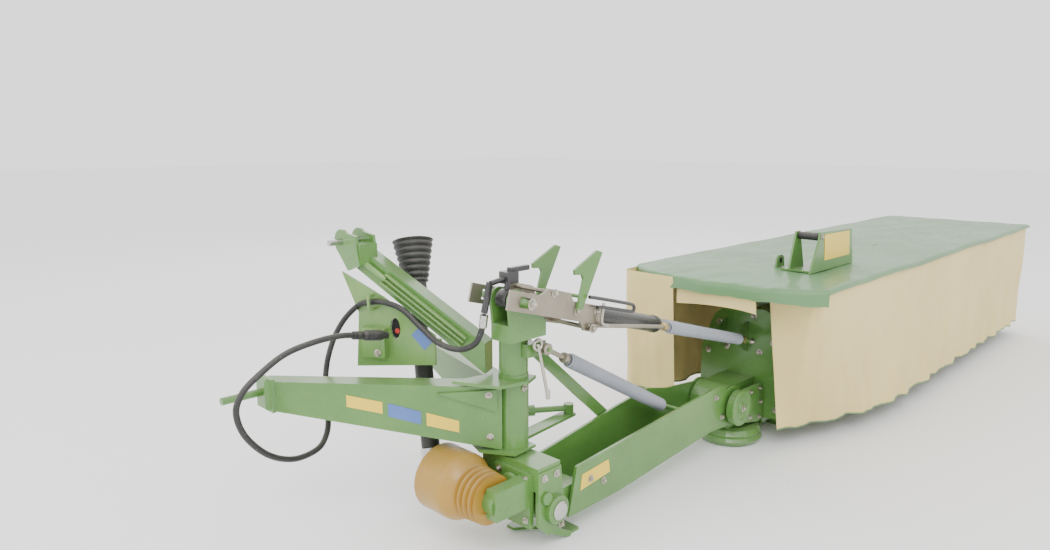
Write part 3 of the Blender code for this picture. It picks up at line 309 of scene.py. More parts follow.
def make_finish_group():
    """Worn Finish: clouds tint a colour, dust settles on faces that look up, specks scuff it."""
    group, node, given, out = new_group(
        "Worn Finish",
        [("Colour", "NodeSocketColor", (0.5, 0.5, 0.5, 1)),
         ("Shade", "NodeSocketColor", (0.3, 0.3, 0.3, 1)),
         ("Dust", "NodeSocketColor", (0.55, 0.50, 0.40, 1)), ("Dust Amount", "NodeSocketFloat", 0.3),
         ("Scale", "NodeSocketFloat", 5.0), ("Grain", "NodeSocketFloat", 160.0),
         ("Smooth", "NodeSocketFloat", 0.3), ("Rough", "NodeSocketFloat", 0.5)],
        [("Colour", "NodeSocketColor"), ("Roughness", "NodeSocketFloat"), ("Height", "NodeSocketFloat")])
    where = node("TexCoord")
    place = where.outputs["Object"]
    broad = node("TexNoise", {"Vector": place, "Scale": given["Scale"], "Detail": 5.0, "Roughness": 0.6})
    fine = node("TexNoise", {"Vector": place, "Scale": given["Grain"], "Detail": 3.0})
    cloud = spread(node, broad.outputs["Fac"], 0.35, 0.68, 0.0, 1.0)
    tint = mix_colour(node, cloud, given["Colour"], given["Shade"])
    up = node("SeparateXYZ", {"Vector": where.outputs["Normal"]}).outputs["Z"]
    facing = spread(node, up, 0.2, 1.0, 0.0, 1.0)
    lying = node("Math", {0: facing, 1: given["Dust Amount"]}, operation="MULTIPLY").outputs[0]
    patch = spread(node, broad.outputs["Fac"], 0.3, 0.6, 0.35, 1.0)
    dust = node("Math", {0: lying, 1: patch}, operation="MULTIPLY").outputs[0]
    settled = mix_colour(node, dust, tint, given["Dust"])
    speck = spread(node, fine.outputs["Fac"], 0.66, 0.74, 0.0, 0.35)
    scuffed = mix_colour(node, speck, settled, given["Dust"])
    group.links.new(scuffed, out["Colour"])
    rough = node("Mix", {"Factor": fine.outputs["Fac"], "A": given["Smooth"], "B": given["Rough"]})
    more = node("Math", {0: rough.outputs["Result"],
                         1: node("Math", {0: dust, 1: 0.5}, operation="MULTIPLY").outputs[0]},
                operation="ADD")
    group.links.new(more.outputs[0], out["Roughness"])
    group.links.new(fine.outputs["Fac"], out["Height"])
    return group


def make_weave_group():
    """Woven Cloth: two crossed wave bands for threads, clouds for stains, noise for creases."""
    group, node, given, out = new_group(
        "Woven Cloth",
        [("Colour", "NodeSocketColor", (0.5, 0.5, 0.5, 1)),
         ("Shade", "NodeSocketColor", (0.3, 0.3, 0.3, 1)),
         ("Threads", "NodeSocketFloat", 250.0), ("Creases", "NodeSocketFloat", 5.0),
         ("Smooth", "NodeSocketFloat", 0.5), ("Rough", "NodeSocketFloat", 0.8)],
        [("Colour", "NodeSocketColor"), ("Roughness", "NodeSocketFloat"), ("Height", "NodeSocketFloat")])
    place = node("TexCoord").outputs["Object"]
    warp = node("TexWave", {"Vector": place, "Scale": given["Threads"], "Distortion": 0.4},
                bands_direction="X")
    weft = node("TexWave", {"Vector": place, "Scale": given["Threads"], "Distortion": 0.4},
                bands_direction="Z")
    thread = node("Math", {0: warp.outputs["Fac"], 1: weft.outputs["Fac"]}, operation="MULTIPLY").outputs[0]
    crease = node("TexNoise", {"Vector": place, "Scale": given["Creases"], "Detail": 4.0,
                               "Distortion": 1.2})
    stain = node("TexNoise", {"Vector": place, "Scale": 1.7, "Detail": 6.0, "Roughness": 0.65})
    cloud = spread(node, stain.outputs["Fac"], 0.42, 0.72, 0.0, 0.8)
    tint = mix_colour(node, cloud, given["Colour"], given["Shade"])
    worn = mix_colour(node, node("Math", {0: thread, 1: 0.18}, operation="MULTIPLY").outputs[0], tint,
                      given["Shade"])
    group.links.new(worn, out["Colour"])
    rough = node("Mix", {"Factor": crease.outputs["Fac"], "A": given["Smooth"], "B": given["Rough"]})
    group.links.new(rough.outputs["Result"], out["Roughness"])
    fold = node("Math", {0: crease.outputs["Fac"], 1: 6.0}, operation="MULTIPLY").outputs[0]
    height = node("Math", {0: fold, 1: node("Math", {0: thread, 1: 0.25}, operation="MULTIPLY").outputs[0]},
                  operation="ADD")
    group.links.new(height.outputs[0], out["Height"])
    return group


def make_material(name, group, colours, values, metallic=0.0, bump=0.15, depth=0.001, coat=0.0, sheen=0.0):
    """A material: one group feeds the Principled shader, with its own colours and values."""
    material = bpy.data.materials.new(name)
    material.use_nodes = True
    tree = material.node_tree
    shader = tree.nodes["Principled BSDF"]
    part = tree.nodes.new("ShaderNodeGroup")
    part.node_tree = group
    for key, colour in colours.items():
        part.inputs[key].default_value = (*colour, 1.0)
    for key, value in values.items():
        part.inputs[key].default_value = value
    tree.links.new(part.outputs["Colour"], shader.inputs["Base Color"])
    tree.links.new(part.outputs["Roughness"], shader.inputs["Roughness"])
    relief = tree.nodes.new("ShaderNodeBump")
    relief.inputs["Strength"].default_value = bump
    relief.inputs["Distance"].default_value = depth
    tree.links.new(part.outputs["Height"], relief.inputs["Height"])
    tree.links.new(relief.outputs["Normal"], shader.inputs["Normal"])
    shader.inputs["Metallic"].default_value = metallic
    shader.inputs["Coat Weight"].default_value = coat
    shader.inputs["Coat Roughness"].default_value = 0.15
    shader.inputs["Sheen Weight"].default_value = sheen
    return material


# ---------------------------------------------------------------- properties

def colour_property(title, what, value):
    return FloatVectorProperty(name=title, description=what, default=value, subtype="COLOR", size=3,
                               min=0.0, max=1.0)


class MowerColours(bpy.types.PropertyGroup):
    """Colours of the finishes."""

    paint: colour_property("Paint", "Machine green on cast and folded steel", (0.105, 0.245, 0.052))
    paint_shade: colour_property("Paint shade", "Darker clouds in the paint", (0.075, 0.190, 0.038))
    fresh_paint: colour_property("Light paint", "Paler green of the coupler plate and channel",
                                 (0.160, 0.300, 0.075))
    cover: colour_property("Cover", "Coated green fabric on top", (0.115, 0.250, 0.095))
    cover_shade: colour_property("Cover shade", "Darker green of the fabric", (0.080, 0.190, 0.070))
    canvas: colour_property("Canvas", "Beige skirts", (0.800, 0.640, 0.270))
    canvas_shade: colour_property("Canvas shade", "Browner beige of the skirts", (0.700, 0.540, 0.220))
    ochre: colour_property("Ochre", "Moulded shaft guard", (0.400, 0.225, 0.025))
    decal: colour_property("Decal", "Blank yellow plates", (0.850, 0.600, 0.030))
    decal_blue: colour_property("Blue decal", "Blank blue plates", (0.080, 0.170, 0.450))
    floor: colour_property("Floor", "Pale floor", (0.93, 0.93, 0.93))


class MowerSizes(bpy.types.PropertyGroup):
    """Sizes of the pieces that are added."""

    fold_depth: FloatProperty(name="Fold depth",
                              description="How far the skirt's folds stand in and out at its hem",
                              default=0.017, unit="LENGTH")
    fold_width: FloatProperty(name="Fold width", description="Distance between two folds of the skirt",
                              default=0.36, unit="LENGTH")
    hem: FloatProperty(name="Hem", description="Radius of the rolled hem", default=0.004, unit="LENGTH")
    lift_coil: FloatProperty(name="Lift spring", description="Mean radius of the two long springs",
                             default=0.0235, unit="LENGTH")
    lift_turns: IntProperty(name="Lift spring turns", description="Turns in each of the long springs",
                            default=58)
    relief_coil: FloatProperty(name="Relief spring", description="Mean radius of the relief spring",
                               default=0.0255, unit="LENGTH")
    relief_turns: IntProperty(name="Relief spring turns", description="Turns in the relief spring",
                              default=62)
    hose: FloatProperty(name="Hose", description="Diameter of the hydraulic hose", default=0.022,
                        unit="LENGTH")
    lens: FloatProperty(name="Lens", description="Focal length of the camera", default=26.057,
                        unit="CAMERA")


def colours():
    return bpy.context.scene.mower_colours


def sizes():
    return bpy.context.scene.mower_sizes


class MOWER_OT_finishes(bpy.types.Operator):
    """Make the finishes and give each CAD node that shows its own"""

    bl_idname = "mower.finishes"
    bl_label = "Finishes"

    def execute(self, context):
        c = colours()
        worn, weave = make_finish_group(), make_weave_group()
        dust = {"Dust": (0.50, 0.46, 0.36)}

        def paint(name, one, two, amount=0.12, smooth=0.22, rough=0.38, coat=0.35, **more):
            make_material(name, worn, {"Colour": one, "Shade": two, **dust},
                          {"Dust Amount": amount, "Smooth": smooth, "Rough": rough, "Scale": 4.0},
                          bump=0.05, depth=0.0006, coat=coat, **more)

        paint("Machine paint", tuple(c.paint), tuple(c.paint_shade))
        paint("Light paint", tuple(c.fresh_paint), tuple(c.paint))
        paint("Black paint", (0.018, 0.018, 0.020), (0.030, 0.030, 0.030), 0.10)
        paint("Spring paint", (0.330, 0.350, 0.390), (0.240, 0.260, 0.300), 0.08, 0.35, 0.5, 0.1)
        paint("Ochre guard", tuple(c.ochre), (0.330, 0.180, 0.020), 0.10, 0.28, 0.42, 0.15)
        paint("Yellow plate", tuple(c.decal), (0.780, 0.540, 0.030), 0.05, 0.3, 0.4, 0.2)
        paint("Blue plate", tuple(c.decal_blue), (0.060, 0.130, 0.350), 0.05, 0.3, 0.4, 0.2)
        paint("Black guard", (0.014, 0.014, 0.014), (0.028, 0.028, 0.028), 0.15, 0.4, 0.6, 0.0)
        paint("Hose rubber", (0.012, 0.012, 0.013), (0.022, 0.022, 0.022), 0.10, 0.35, 0.5, 0.0)
        paint("Red seal", (0.450, 0.020, 0.015), (0.350, 0.015, 0.012), 0.05)
        # Near-black painted shade for the holes and hollows that stand in shadow.
        paint("Dark hollow", (0.004, 0.004, 0.004), (0.006, 0.006, 0.006), 0.0, 0.7, 0.9, 0.0)
        paint("Zinc plate", (0.390, 0.350, 0.280), (0.260, 0.230, 0.180), 0.12, 0.3, 0.48, 0.0,
              metallic=0.85)
        paint("Bolt zinc", (0.560, 0.530, 0.470), (0.380, 0.350, 0.290), 0.05, 0.22, 0.4, 0.0,
              metallic=0.95)
        paint("Turned steel", (0.620, 0.620, 0.600), (0.480, 0.470, 0.450), 0.02, 0.16, 0.3, 0.0,
              metallic=1.0)
        paint("Brass fitting", (0.520, 0.420, 0.200), (0.400, 0.300, 0.140), 0.03, 0.22, 0.35, 0.0,
              metallic=0.9)
        make_material("Cover cloth", weave, {"Colour": tuple(c.cover), "Shade": tuple(c.cover_shade)},
                      {"Threads": 260.0, "Creases": 3.5, "Smooth": 0.30, "Rough": 0.55}, bump=0.3,
                      depth=0.004,
                      coat=0.25)
        make_material("Skirt cloth", weave, {"Colour": tuple(c.canvas), "Shade": tuple(c.canvas_shade)},
                      {"Threads": 260.0, "Creases": 4.5, "Smooth": 0.55, "Rough": 0.80}, bump=0.35,
                      depth=0.006,
                      sheen=0.1)
        finish = {
            "Machine paint": ["post_sleeve", "hitch_frame", "top_link_beam", "king_post", "pivot_casting",
                              "parking_foot",
                              "carrying_arm", "stop_link", "transport_hooks", "head_gearbox", "head_cap",
                              "head_plate",
                              "inner_shoe", "cutterbar", "cover_frame", "sign_bracket", "breakaway_sleeve",
                              "breakaway_rod"] + [f"disc_{k}" for k in range(1, 9)],
            "Light paint": ["side_plate"],
            "Cover cloth": ["cover_sheet", "cover_flap", "front_cover"],
            "Skirt cloth": ["rear_skirt", "inner_front_skirt", "front_skirt"],
            "Ochre guard": ["shaft_guard_cup"],
            "Zinc plate": ["slotted_link", "relief_spindle"],
            "Turned steel": ["top_link_pin", "cylinder_rod", "shaft_joint"],
            "Spring paint": ["near_spring", "far_spring", "relief_spring"],
            "Black guard": ["shaft_guard_tube", "shaft_bell", "catch_roller"],
            "Black paint": ["cylinder_barrel", "shutoff_valve", "hose_coupler"],
            "Hose rubber": ["hydraulic_hose"],
        }
        for material, nodes in finish.items():
            for name in nodes:
                slots = NODES[name].material_slots
                for slot in slots:
                    slot.link = "OBJECT"
                    slot.material = bpy.data.materials[material]
        return {"FINISHED"}


class MOWER_OT_stage(bpy.types.Operator):
    """Make the pale floor, the soft lights and the camera"""

    bl_idname = "mower.stage"
    bl_label = "Stage"

    def execute(self, context):
        world = bpy.data.worlds.new("studio")
        world.use_nodes = True
        world.node_tree.nodes["Background"].inputs["Color"].default_value = (1.0, 1.0, 1.0, 1.0)
        world.node_tree.nodes["Background"].inputs["Strength"].default_value = 1.75
        context.scene.world = world
        floor = bpy.data.meshes.new("floor")
        floor.from_pydata([(-40, -40, 0), (40, -40, 0), (40, 40, 0), (-40, 40, 0)], [], [(0, 1, 2, 3)])
        material = bpy.data.materials.new("floor")
        material.use_nodes = True
        material.node_tree.nodes["Principled BSDF"].inputs["Base Color"].default_value = (*colours().floor,
                                                            1.0)
        material.node_tree.nodes["Principled BSDF"].inputs["Roughness"].default_value = 0.9
        floor.materials.append(material)
        ground = bpy.data.objects.new("floor", floor)
        context.scene.collection.objects.link(ground)
        for name, place, aim, power, size in (
                ("key", (-3.5, -4.5, 6.5), (1.5, 0, 0.4), 330, 4.0),
                ("fill", (-5.0, 3.0, 3.5), (0.5, 0, 0.5), 90, 4.0),
                ("back", (5.0, 5.0, 5.0), (2.5, 0, 0.5), 120, 5.0)):
            light = bpy.data.lights.new(name, "AREA")
            light.energy = power
            light.size = size
            obj = bpy.data.objects.new(name, light)
            obj.location = place
            obj.rotation_euler = (Vector(aim) - Vector(place)).to_track_quat("-Z", "Y").to_euler()
            context.scene.collection.objects.link(obj)
        lens = bpy.data.cameras.new("camera")
        lens.lens = sizes().lens
        lens.sensor_width = 36.0
        camera = bpy.data.objects.new("camera", lens)
        camera.location = (-1.917, -1.970, 1.500)
        camera.rotation_euler = (math.radians(79.782), 0.0, math.radians(-45.12))
        context.scene.collection.objects.link(camera)
        context.scene.camera = camera
        return {"FINISHED"}


# ---------------------------------------------------------------- cord

HOSE_ROUTE = [
    (-0.172, -0.030, 0.885), (-0.174, -0.020, 0.835), (-0.178, 0.015, 0.775),
    (-0.183, 0.100, 0.738), (-0.200, 0.200, 0.748), (-0.220, 0.280, 0.800),
    (-0.248, 0.350, 0.858), (-0.279, 0.420, 0.880), (-0.301, 0.477, 0.876),
    (-0.322, 0.530, 0.860), (-0.354, 0.580, 0.806), (-0.388, 0.605, 0.738),
    (-0.420, 0.605, 0.668), (-0.440, 0.600, 0.600), (-0.462, 0.575, 0.520),
    (-0.480, 0.530, 0.443), (-0.515, 0.490, 0.391), (-0.573, 0.460, 0.360),
    (-0.677, 0.440, 0.361), (-0.782, 0.420, 0.415), (-0.863, 0.410, 0.508),
    (-0.894, 0.400, 0.600), (-0.870, 0.400, 0.663), (-0.810, 0.400, 0.712),
    (-0.713, 0.400, 0.765), (-0.610, 0.390, 0.790), (-0.503, 0.380, 0.797),
    (-0.405, 0.385, 0.780),
]


class MOWER_OT_hose(bpy.types.Operator):
    """Make the hydraulic hose with its crimped ends and the coupler it plugs in with"""

    bl_idname = "mower.hose"
    bl_label = "Hose"

    def execute(self, context):
        path = smooth_path(HOSE_ROUTE, 220)
        hint = unit(np.array([0.35, -0.75, 0.55]))
        hose = put("hydraulic_hose_skin", pipe(path, sizes().hose / 2, 14, hint), None, "Hose rubber",
                   ["hydraulic_hose"])
        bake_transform(hose)
        way = unit(path[-1] - path[-2])
        end = path[-1]
        ferrule = lathe([(0.011, -0.045), (0.0155, -0.043), (0.0160, -0.030), (0.0150, -0.028),
                         (0.0160, -0.026),
                         (0.0160, -0.006), (0.0140, -0.003), (0.0140, 0.002)], end, end + way, 24)
        body = lathe([(0.0130, 0.0), (0.0170, 0.004), (0.0200, 0.012), (0.0205, 0.018), (0.0190, 0.022),
                      (0.0205, 0.026), (0.0190, 0.030), (0.0205, 0.034), (0.0190, 0.038), (0.0205, 0.042),
                      (0.0205, 0.080), (0.0170, 0.092), (0.0135, 0.096), (0.0135, 0.114)], end, end + way,
                      28)
        coupler = put("coupler", gather([ferrule, body]), "headstock", "Black guard",
                      ["hose_coupler"])
        start = path[0]
        down = unit(path[1] - path[0])
        collar = lathe([(0.0115, -0.004), (0.0150, -0.003), (0.0150, 0.012), (0.0142, 0.014),
                        (0.0150, 0.016),
                        (0.0150, 0.042), (0.0120, 0.046)], start, start + down, 24)
        crimp = put("hose_crimp", collar, "swing_head", "Turned steel")
        return {"FINISHED"}


# ---------------------------------------------------------------- cloth

def lip(d, hang, bend):
    """Inset and drop at a distance d from a hem: straight for hang, then a quarter round."""
    a = np.clip((d - hang) / bend, 0, np.pi / 2)
    flat = np.maximum(0, d - hang - bend * np.pi / 2)
    return bend * (1 - np.cos(a)) + flat, bend * (1 - np.sin(a)) + np.maximum(0, hang - d)


def cover_grid():
    """The top: p = (in(y) + inset_x, rear + inset_y, top - drops - sag), in(y) = 1.155 + 0.145 |y'|^3."""
    rear = np.array([0, 0.006, 0.012, 0.020, 0.030, 0.045, 0.06])
    rows = np.concatenate([rear, np.linspace(0.08, 0.395, 14), np.linspace(0.42, 0.71, 12),
                           np.linspace(0.745, 1.045, 16)])
    inner = np.array([0, 0.018, 0.036, 0.050, 0.058, 0.066, 0.075, 0.085, 0.1])
    columns = np.concatenate([inner, np.linspace(0.12, 0.56, 18), np.linspace(0.60, 3.76, 84)])
    v, u = np.meshgrid(rows, columns, indexing="ij")
    inset_y, drop_y = lip(v, 0.006, 0.016)
    y = COVER_REAR + 0.001 + inset_y
    front = np.clip((y - 0.20) / 0.18, 0, 1)
    back = np.clip((-0.42 - y) / 0.18, 0, 1)
    hang = 0.040 + 0.045 * front * front + 0.012 * back
    side = np.clip(np.abs(y + 0.11) / 0.52, 0, 1)
    edge = 1.155 + 0.145 * side ** 3 + 0.006 * np.sin(19 * y)
    inset_x, drop_x = lip(u, hang, 0.022)
    span = (4.895 - edge) / (inset_x[:, -1:])
    x = edge + inset_x * np.where(inset_x > 0.3, span, 1 + (span - 1) * (inset_x / 0.3) ** 2)
    front_roll = np.clip((y - (COVER_FRONT - 0.022)) / 0.022, 0, 1)
    end_roll = np.clip((x - (COVER_OUT - 0.030)) / 0.025, 0, 1)
    drop_f = 0.018 * (1 - np.sqrt(1 - front_roll ** 2 * 0.98))
    drop_e = 0.018 * (1 - np.sqrt(1 - end_roll ** 2 * 0.98))
    drop = (drop_y ** 3 + drop_x ** 3 + drop_f ** 3 + drop_e ** 3) ** (1 / 3)
    ribs = np.min(np.abs(x[..., None] - np.array([1.60, 1.92, 3.27, 4.74])), axis=-1)
    sag = (0.007 * (1 - np.exp(-(ribs / 0.30) ** 2)) * (1 - front_roll)
           + 0.0018 * np.sin(9 * x + 5 * np.sin(7 * y)))
    ripple = 0.004 * np.sin(34 * y + 2 * np.sin(6 * x)) * np.exp(-((x - 1.2) / 0.22) ** 2)
    return np.stack([x, y, COVER_TOP - 0.002 - drop - np.abs(sag) - np.abs(ripple)], -1)


def part_of(grid, keep):
    """The faces of a grid whose middle passes a test, as a shape with only their own points."""
    points, faces = skin(grid, around=False)
    faces = np.array(faces)
    chosen = faces[keep(points[faces].mean(1))]
    used, back = np.unique(chosen, return_inverse=True)
    return points[used], back.reshape(chosen.shape).tolist()


def line_at(line, steps):
    """A line of corners with extra points on each side: steps names how many each side is cut in."""
    line = np.asarray(line, float)
    out = []
    for a, b, n in zip(line, line[1:], steps):
        t = np.linspace(0, 1, n, endpoint=False)[:, None]
        out.append(a + (b - a) * t)
    return np.vstack([*out, line[-1:]])


def soften(line, turns=3):
    """A line with its corners eased: each point moves to the mean of itself and its two neighbours."""
    line = line.copy()
    for _ in range(turns):
        line[1:-1] = (line[:-2] + 2 * line[1:-1] + line[2:]) / 4
    return line


def skirt_grid(top, bottom, steps, high, low, seed, rows=26, lean=1.0):
    """A hanging cloth: p = line(s, t) + n * depth * t^1.1 * folds(s), folds a sum of sines of s."""
    s_top, s_low = soften(line_at(top, steps)), soften(line_at(bottom, steps))
    way = np.gradient(s_top, axis=0)
    normal = unit(np.stack([way[:, 1], -way[:, 0]], 1)) * lean
    s = np.concatenate([[0], np.cumsum(np.linalg.norm(np.diff(s_low, axis=0), axis=1))])
    k = 2 * np.pi / sizes().fold_width
    phase = k * s + seed + 0.8 * np.sin(1.9 * s + seed)
    sharp = 1 - 2 * np.abs(np.sin(phase / 2)) ** 0.7
    folds = 0.55 * sharp + 0.30 * np.sin(2.3 * phase + 1.3) + 0.15 * np.sin(5.1 * phase)
    ends = np.clip(np.minimum(s, s[-1] - s) / 0.10, 0, 1)
    t = np.linspace(0, 1, rows)[:, None]
    amount = sizes().fold_depth * (0.22 + 0.78 * t ** 1.1) * folds * ends
    wave = 0.0030 * np.sin(9 * t + 3 * phase / 2 + seed) * ends
    plan = s_top[None] * (1 - t[..., None]) + s_low[None] * t[..., None] + (amount + wave)[...,
                                                            None] * normal[None]
    drop = 0.006 * np.sin(1.5 * phase) * t * ends
    z = high + (low - high) * t + drop + 0.004 * (t > 0.5)
    return np.concatenate([plan, z[..., None]], -1)


def hang(name, grid, body, material, slot_name, nodes, held, flat, area=None, squash=False, hem=None,
         keep_faces=None):
    """A cloth grid as a piece with its hem; flat and area are not used."""
    shape = skin(grid, around=False) if keep_faces is None else part_of(grid, keep_faces)
    obj = put(name, shape, body, material, nodes, sharp=70)
    pieces = []
    if hem is not None:
        pieces.append(put(name + "_hem", pipe(hem, sizes().hem, 8), body, "Cover cloth"))
    if squash:
        for each in (obj, *pieces):
            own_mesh(each)
    return obj


class MOWER_OT_cloth(bpy.types.Operator):
    """Make the coated top cover, its two moving parts and the canvas skirts with their hems"""

    bl_idname = "mower.cloth"
    bl_label = "Cover and skirts"

    def execute(self, context):
        grid = cover_grid()

        def is_flap(p):
            return (p[:, 0] < 1.62) & (p[:, 1] > -0.235) & (p[:, 1] < 0.08)

        def is_front(p):
            return (p[:, 0] > 1.31) & (p[:, 1] > HINGE_Y)

        hang("cover_top", grid, "mower", "Cover cloth", "cover_green", ["cover_sheet"], "stretched",
             flat=(3.75, 0.80), area=2.71,
             keep_faces=lambda p: ~is_flap(p) & ~is_front(p))
        hang("cover_inner_flap", grid, "mower", "Cover cloth", "cover_green", ["cover_flap"], "stretched",
             flat=(0.47, 0.315), squash=True,
             keep_faces=is_flap)
        hang("cover_front_part", grid, "front_guard", "Cover cloth", "cover_green", ["front_cover"],
             "stretched", flat=(3.59, 0.29),
             keep_faces=is_front)
        out = COVER_OUT - 0.016
        rear = COVER_REAR + 0.012
        top = [(1.305, -0.345), (1.287, -0.560), (1.300, -0.610), (1.345, rear), (2.24, rear), (out, rear),
               (out, 0.115)]
        low = [(1.420, -0.370), (1.500, -0.400), (1.600, -0.445), (1.900, -0.550), (2.24, rear),
               (out, rear), (out, 0.115)]
        rear_grid = skirt_grid(top, low, (14, 8, 14, 30, 120, 28), 0.838, 0.103, 0.4)
        hang("rear_canvas", rear_grid, "mower", "Skirt cloth", "canvas_beige", ["rear_skirt"], "hung",
             flat=(4.53, 0.74), hem=rear_grid[-1])
        front = COVER_FRONT - 0.012
        top = [(1.300, front), (1.190, front - 0.010), (1.172, front - 0.030), (1.166, 0.085)]
        low = [(1.300, front), (1.230, front - 0.012), (1.222, front - 0.030), (1.216, 0.085)]
        inner_grid = skirt_grid(top, low, (10, 4, 16), 0.836, 0.205, 1.9, lean=-1.0)
        hang("inner_front_canvas", inner_grid, "mower", "Skirt cloth", "canvas_beige",
             ["inner_front_skirt"], "hung", flat=(0.44, 0.64),
             hem=inner_grid[-1])
        line = [(out, 0.128), (out, front), (1.316, front)]
        front_grid = skirt_grid(line, line, (14, 120), 0.836, 0.103, 2.7)
        hang("front_canvas", front_grid, "front_guard", "Skirt cloth", "canvas_beige", ["front_skirt"],
             "hung", flat=(3.84, 0.74),
             hem=front_grid[-1])
        y = np.linspace(-0.345, 0.075, 30)
        edge = 1.176 + 0.145 * np.clip(np.abs(y + 0.11) / 0.52, 0, 1) ** 3
        t = np.linspace(0, 1, 8)[:, None]
        x = edge + 0.010 * t + 0.004 * np.sin(26 * y + 2 * t)
        z = 0.838 - (0.125 + 0.012 * np.sin(9 * y)) * t
        valance = np.stack([x, np.broadcast_to(y, x.shape), z], -1)
        hang("inner_valance", valance, "mower", "Skirt cloth", "canvas_beige", (), "hung",
             flat=(0.42, 0.125), squash=True)
        studs = []
        for px, py in ((1.72, -0.20), (2.95, -0.20), (1.92, -0.52), (3.27, -0.52), (4.74, -0.52),
                       (1.92, 0.06), (3.27, 0.06), (4.74, 0.06)):
            studs.append(lathe([(0.016, 0), (0.016, 0.002), (0.009, 0.0045), (0.006, 0.0085)],
                               (px, py, COVER_TOP - 0.008), (px, py, 1.0), 16))
        put("cover_studs", gather(studs), "mower", "Bolt zinc")
        return {"FINISHED"}


# ---------------------------------------------------------------- springs and linkage

def lift(along, across=0.0, y=-0.07):
    """A point on the lift line: top + along * way + across * up."""
    p = LIFT_TOP + along * LIFT_WAY + across * LIFT_UP
    return np.array([p[0], y, p[2]])


LIFT_LONG = float(np.linalg.norm(LIFT_LUG - LIFT_TOP))


class MOWER_OT_springs(bpy.types.Operator):
    """Wind the two lift springs and the relief spring, with their brass eyes and end bolts"""

    bl_idname = "mower.springs"
    bl_label = "Springs"

    def execute(self, context):
        s = sizes()
        for name, y in (("near", -0.175), ("far", 0.035)):
            start, end = lift(0.872, 0, y), lift(LIFT_LONG - 0.045, 0, y)
            wound = put(name + "_coil", coil(start, end, s.lift_coil, 0.0042, s.lift_turns), "cylinder_rod",
                        "Spring paint", [name + "_spring"], 60)
            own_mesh(wound)
            eye = gather([lathe([(0.010, 0), (0.0125, 0.002), (0.0125, 0.030), (0.009, 0.036)],
                                lift(LIFT_LONG - 0.050, 0, y),
                                lift(LIFT_LONG, 0, y), 20),
                          lathe([(0.017, -0.011), (0.018, -0.009), (0.018, 0.009), (0.017, 0.011)],
                                lift(LIFT_LONG, 0, y),
                                lift(LIFT_LONG, 0, y) + Y_AXIS, 24)])
            put(name + "_eye", eye, "cylinder_rod", "Brass fitting")
            shapes = [lathe([(0.008, 0), (0.0165, 0.003), (0.0175, 0.008), (0.0175, 0.022), (0.0150, 0.026),
                             (0.008, 0.028)],
                            lift(0.846, 0, y), lift(0.90, 0, y), 24)]
            put(name + "_collar", gather(shapes), "lift_cylinder", "Brass fitting")
        out = np.array([1.42, -0.212, 0.52])
        put("lug_bolts", gather([hex_bolt(out, -Y_AXIS, 0.013, 0.011),
                                 hex_bolt(out * (1, 0, 1) + (0, 0.072, 0), Y_AXIS, 0.013, 0.011)]),
            "mower", "Bolt zinc")
        way = unit(RELIEF_END - RELIEF_TOP)
        a, b = RELIEF_TOP + way * 0.132, RELIEF_END - way * 0.020
        put("relief_coil", coil(a, b, s.relief_coil, 0.0044, s.relief_turns), "relief_spring",
            "Spring paint",
            ["relief_spring"], 60)
        screw = [lathe([(0.0075, 0), (0.0095, 0.004)] + [(0.0095 - 0.0015 * (k % 2),
                                                          0.006 + 0.003 * k) for k in range(34)],
                       RELIEF_TOP + way * 0.018, RELIEF_END, 14),
                 lathe([(0.010, 0), (0.020, 0.003), (0.021, 0.008), (0.021, 0.026), (0.017, 0.032),
                        (0.010, 0.034)],
                       RELIEF_TOP + way * 0.106, RELIEF_END, 24),
                 lathe([(0.019, -0.017), (0.0225, -0.014), (0.0225, 0.014), (0.019, 0.017)], RELIEF_TOP,
                       RELIEF_TOP + Y_AXIS, 28)]
        put("relief_screw", gather(screw), "relief_spring", "Zinc plate", ["relief_spindle"])
        up = np.array([-way[2], 0, way[0]])
        knee = RELIEF_TOP - way * 0.046
        foot = knee + np.array([0.030, -0.022, -0.200])
        handle = smooth_path([knee - way * 0.002, knee + (0.002, -0.003, -0.020), (knee + foot) / 2, foot],
                             30)
        ring = [RELIEF_TOP - way * 0.048 + 0.020 * (np.cos(a) * way + np.sin(a) * up)
                for a in np.linspace(0, 2 * np.pi, 33)]
        put("relief_crank", gather([pipe(handle, 0.0065, 12, Y_AXIS), pipe(ring, 0.006, 10, Y_AXIS),
                                    lathe([(0.006, 0), (0.0085, 0.003), (0.0085, 0.034), (0.006, 0.037)],
                                          foot + (0, 0, 0.028),
                                          foot - (0, 0, 0.05), 16)]), "relief_spring", "Bolt zinc")
        return {"FINISHED"}


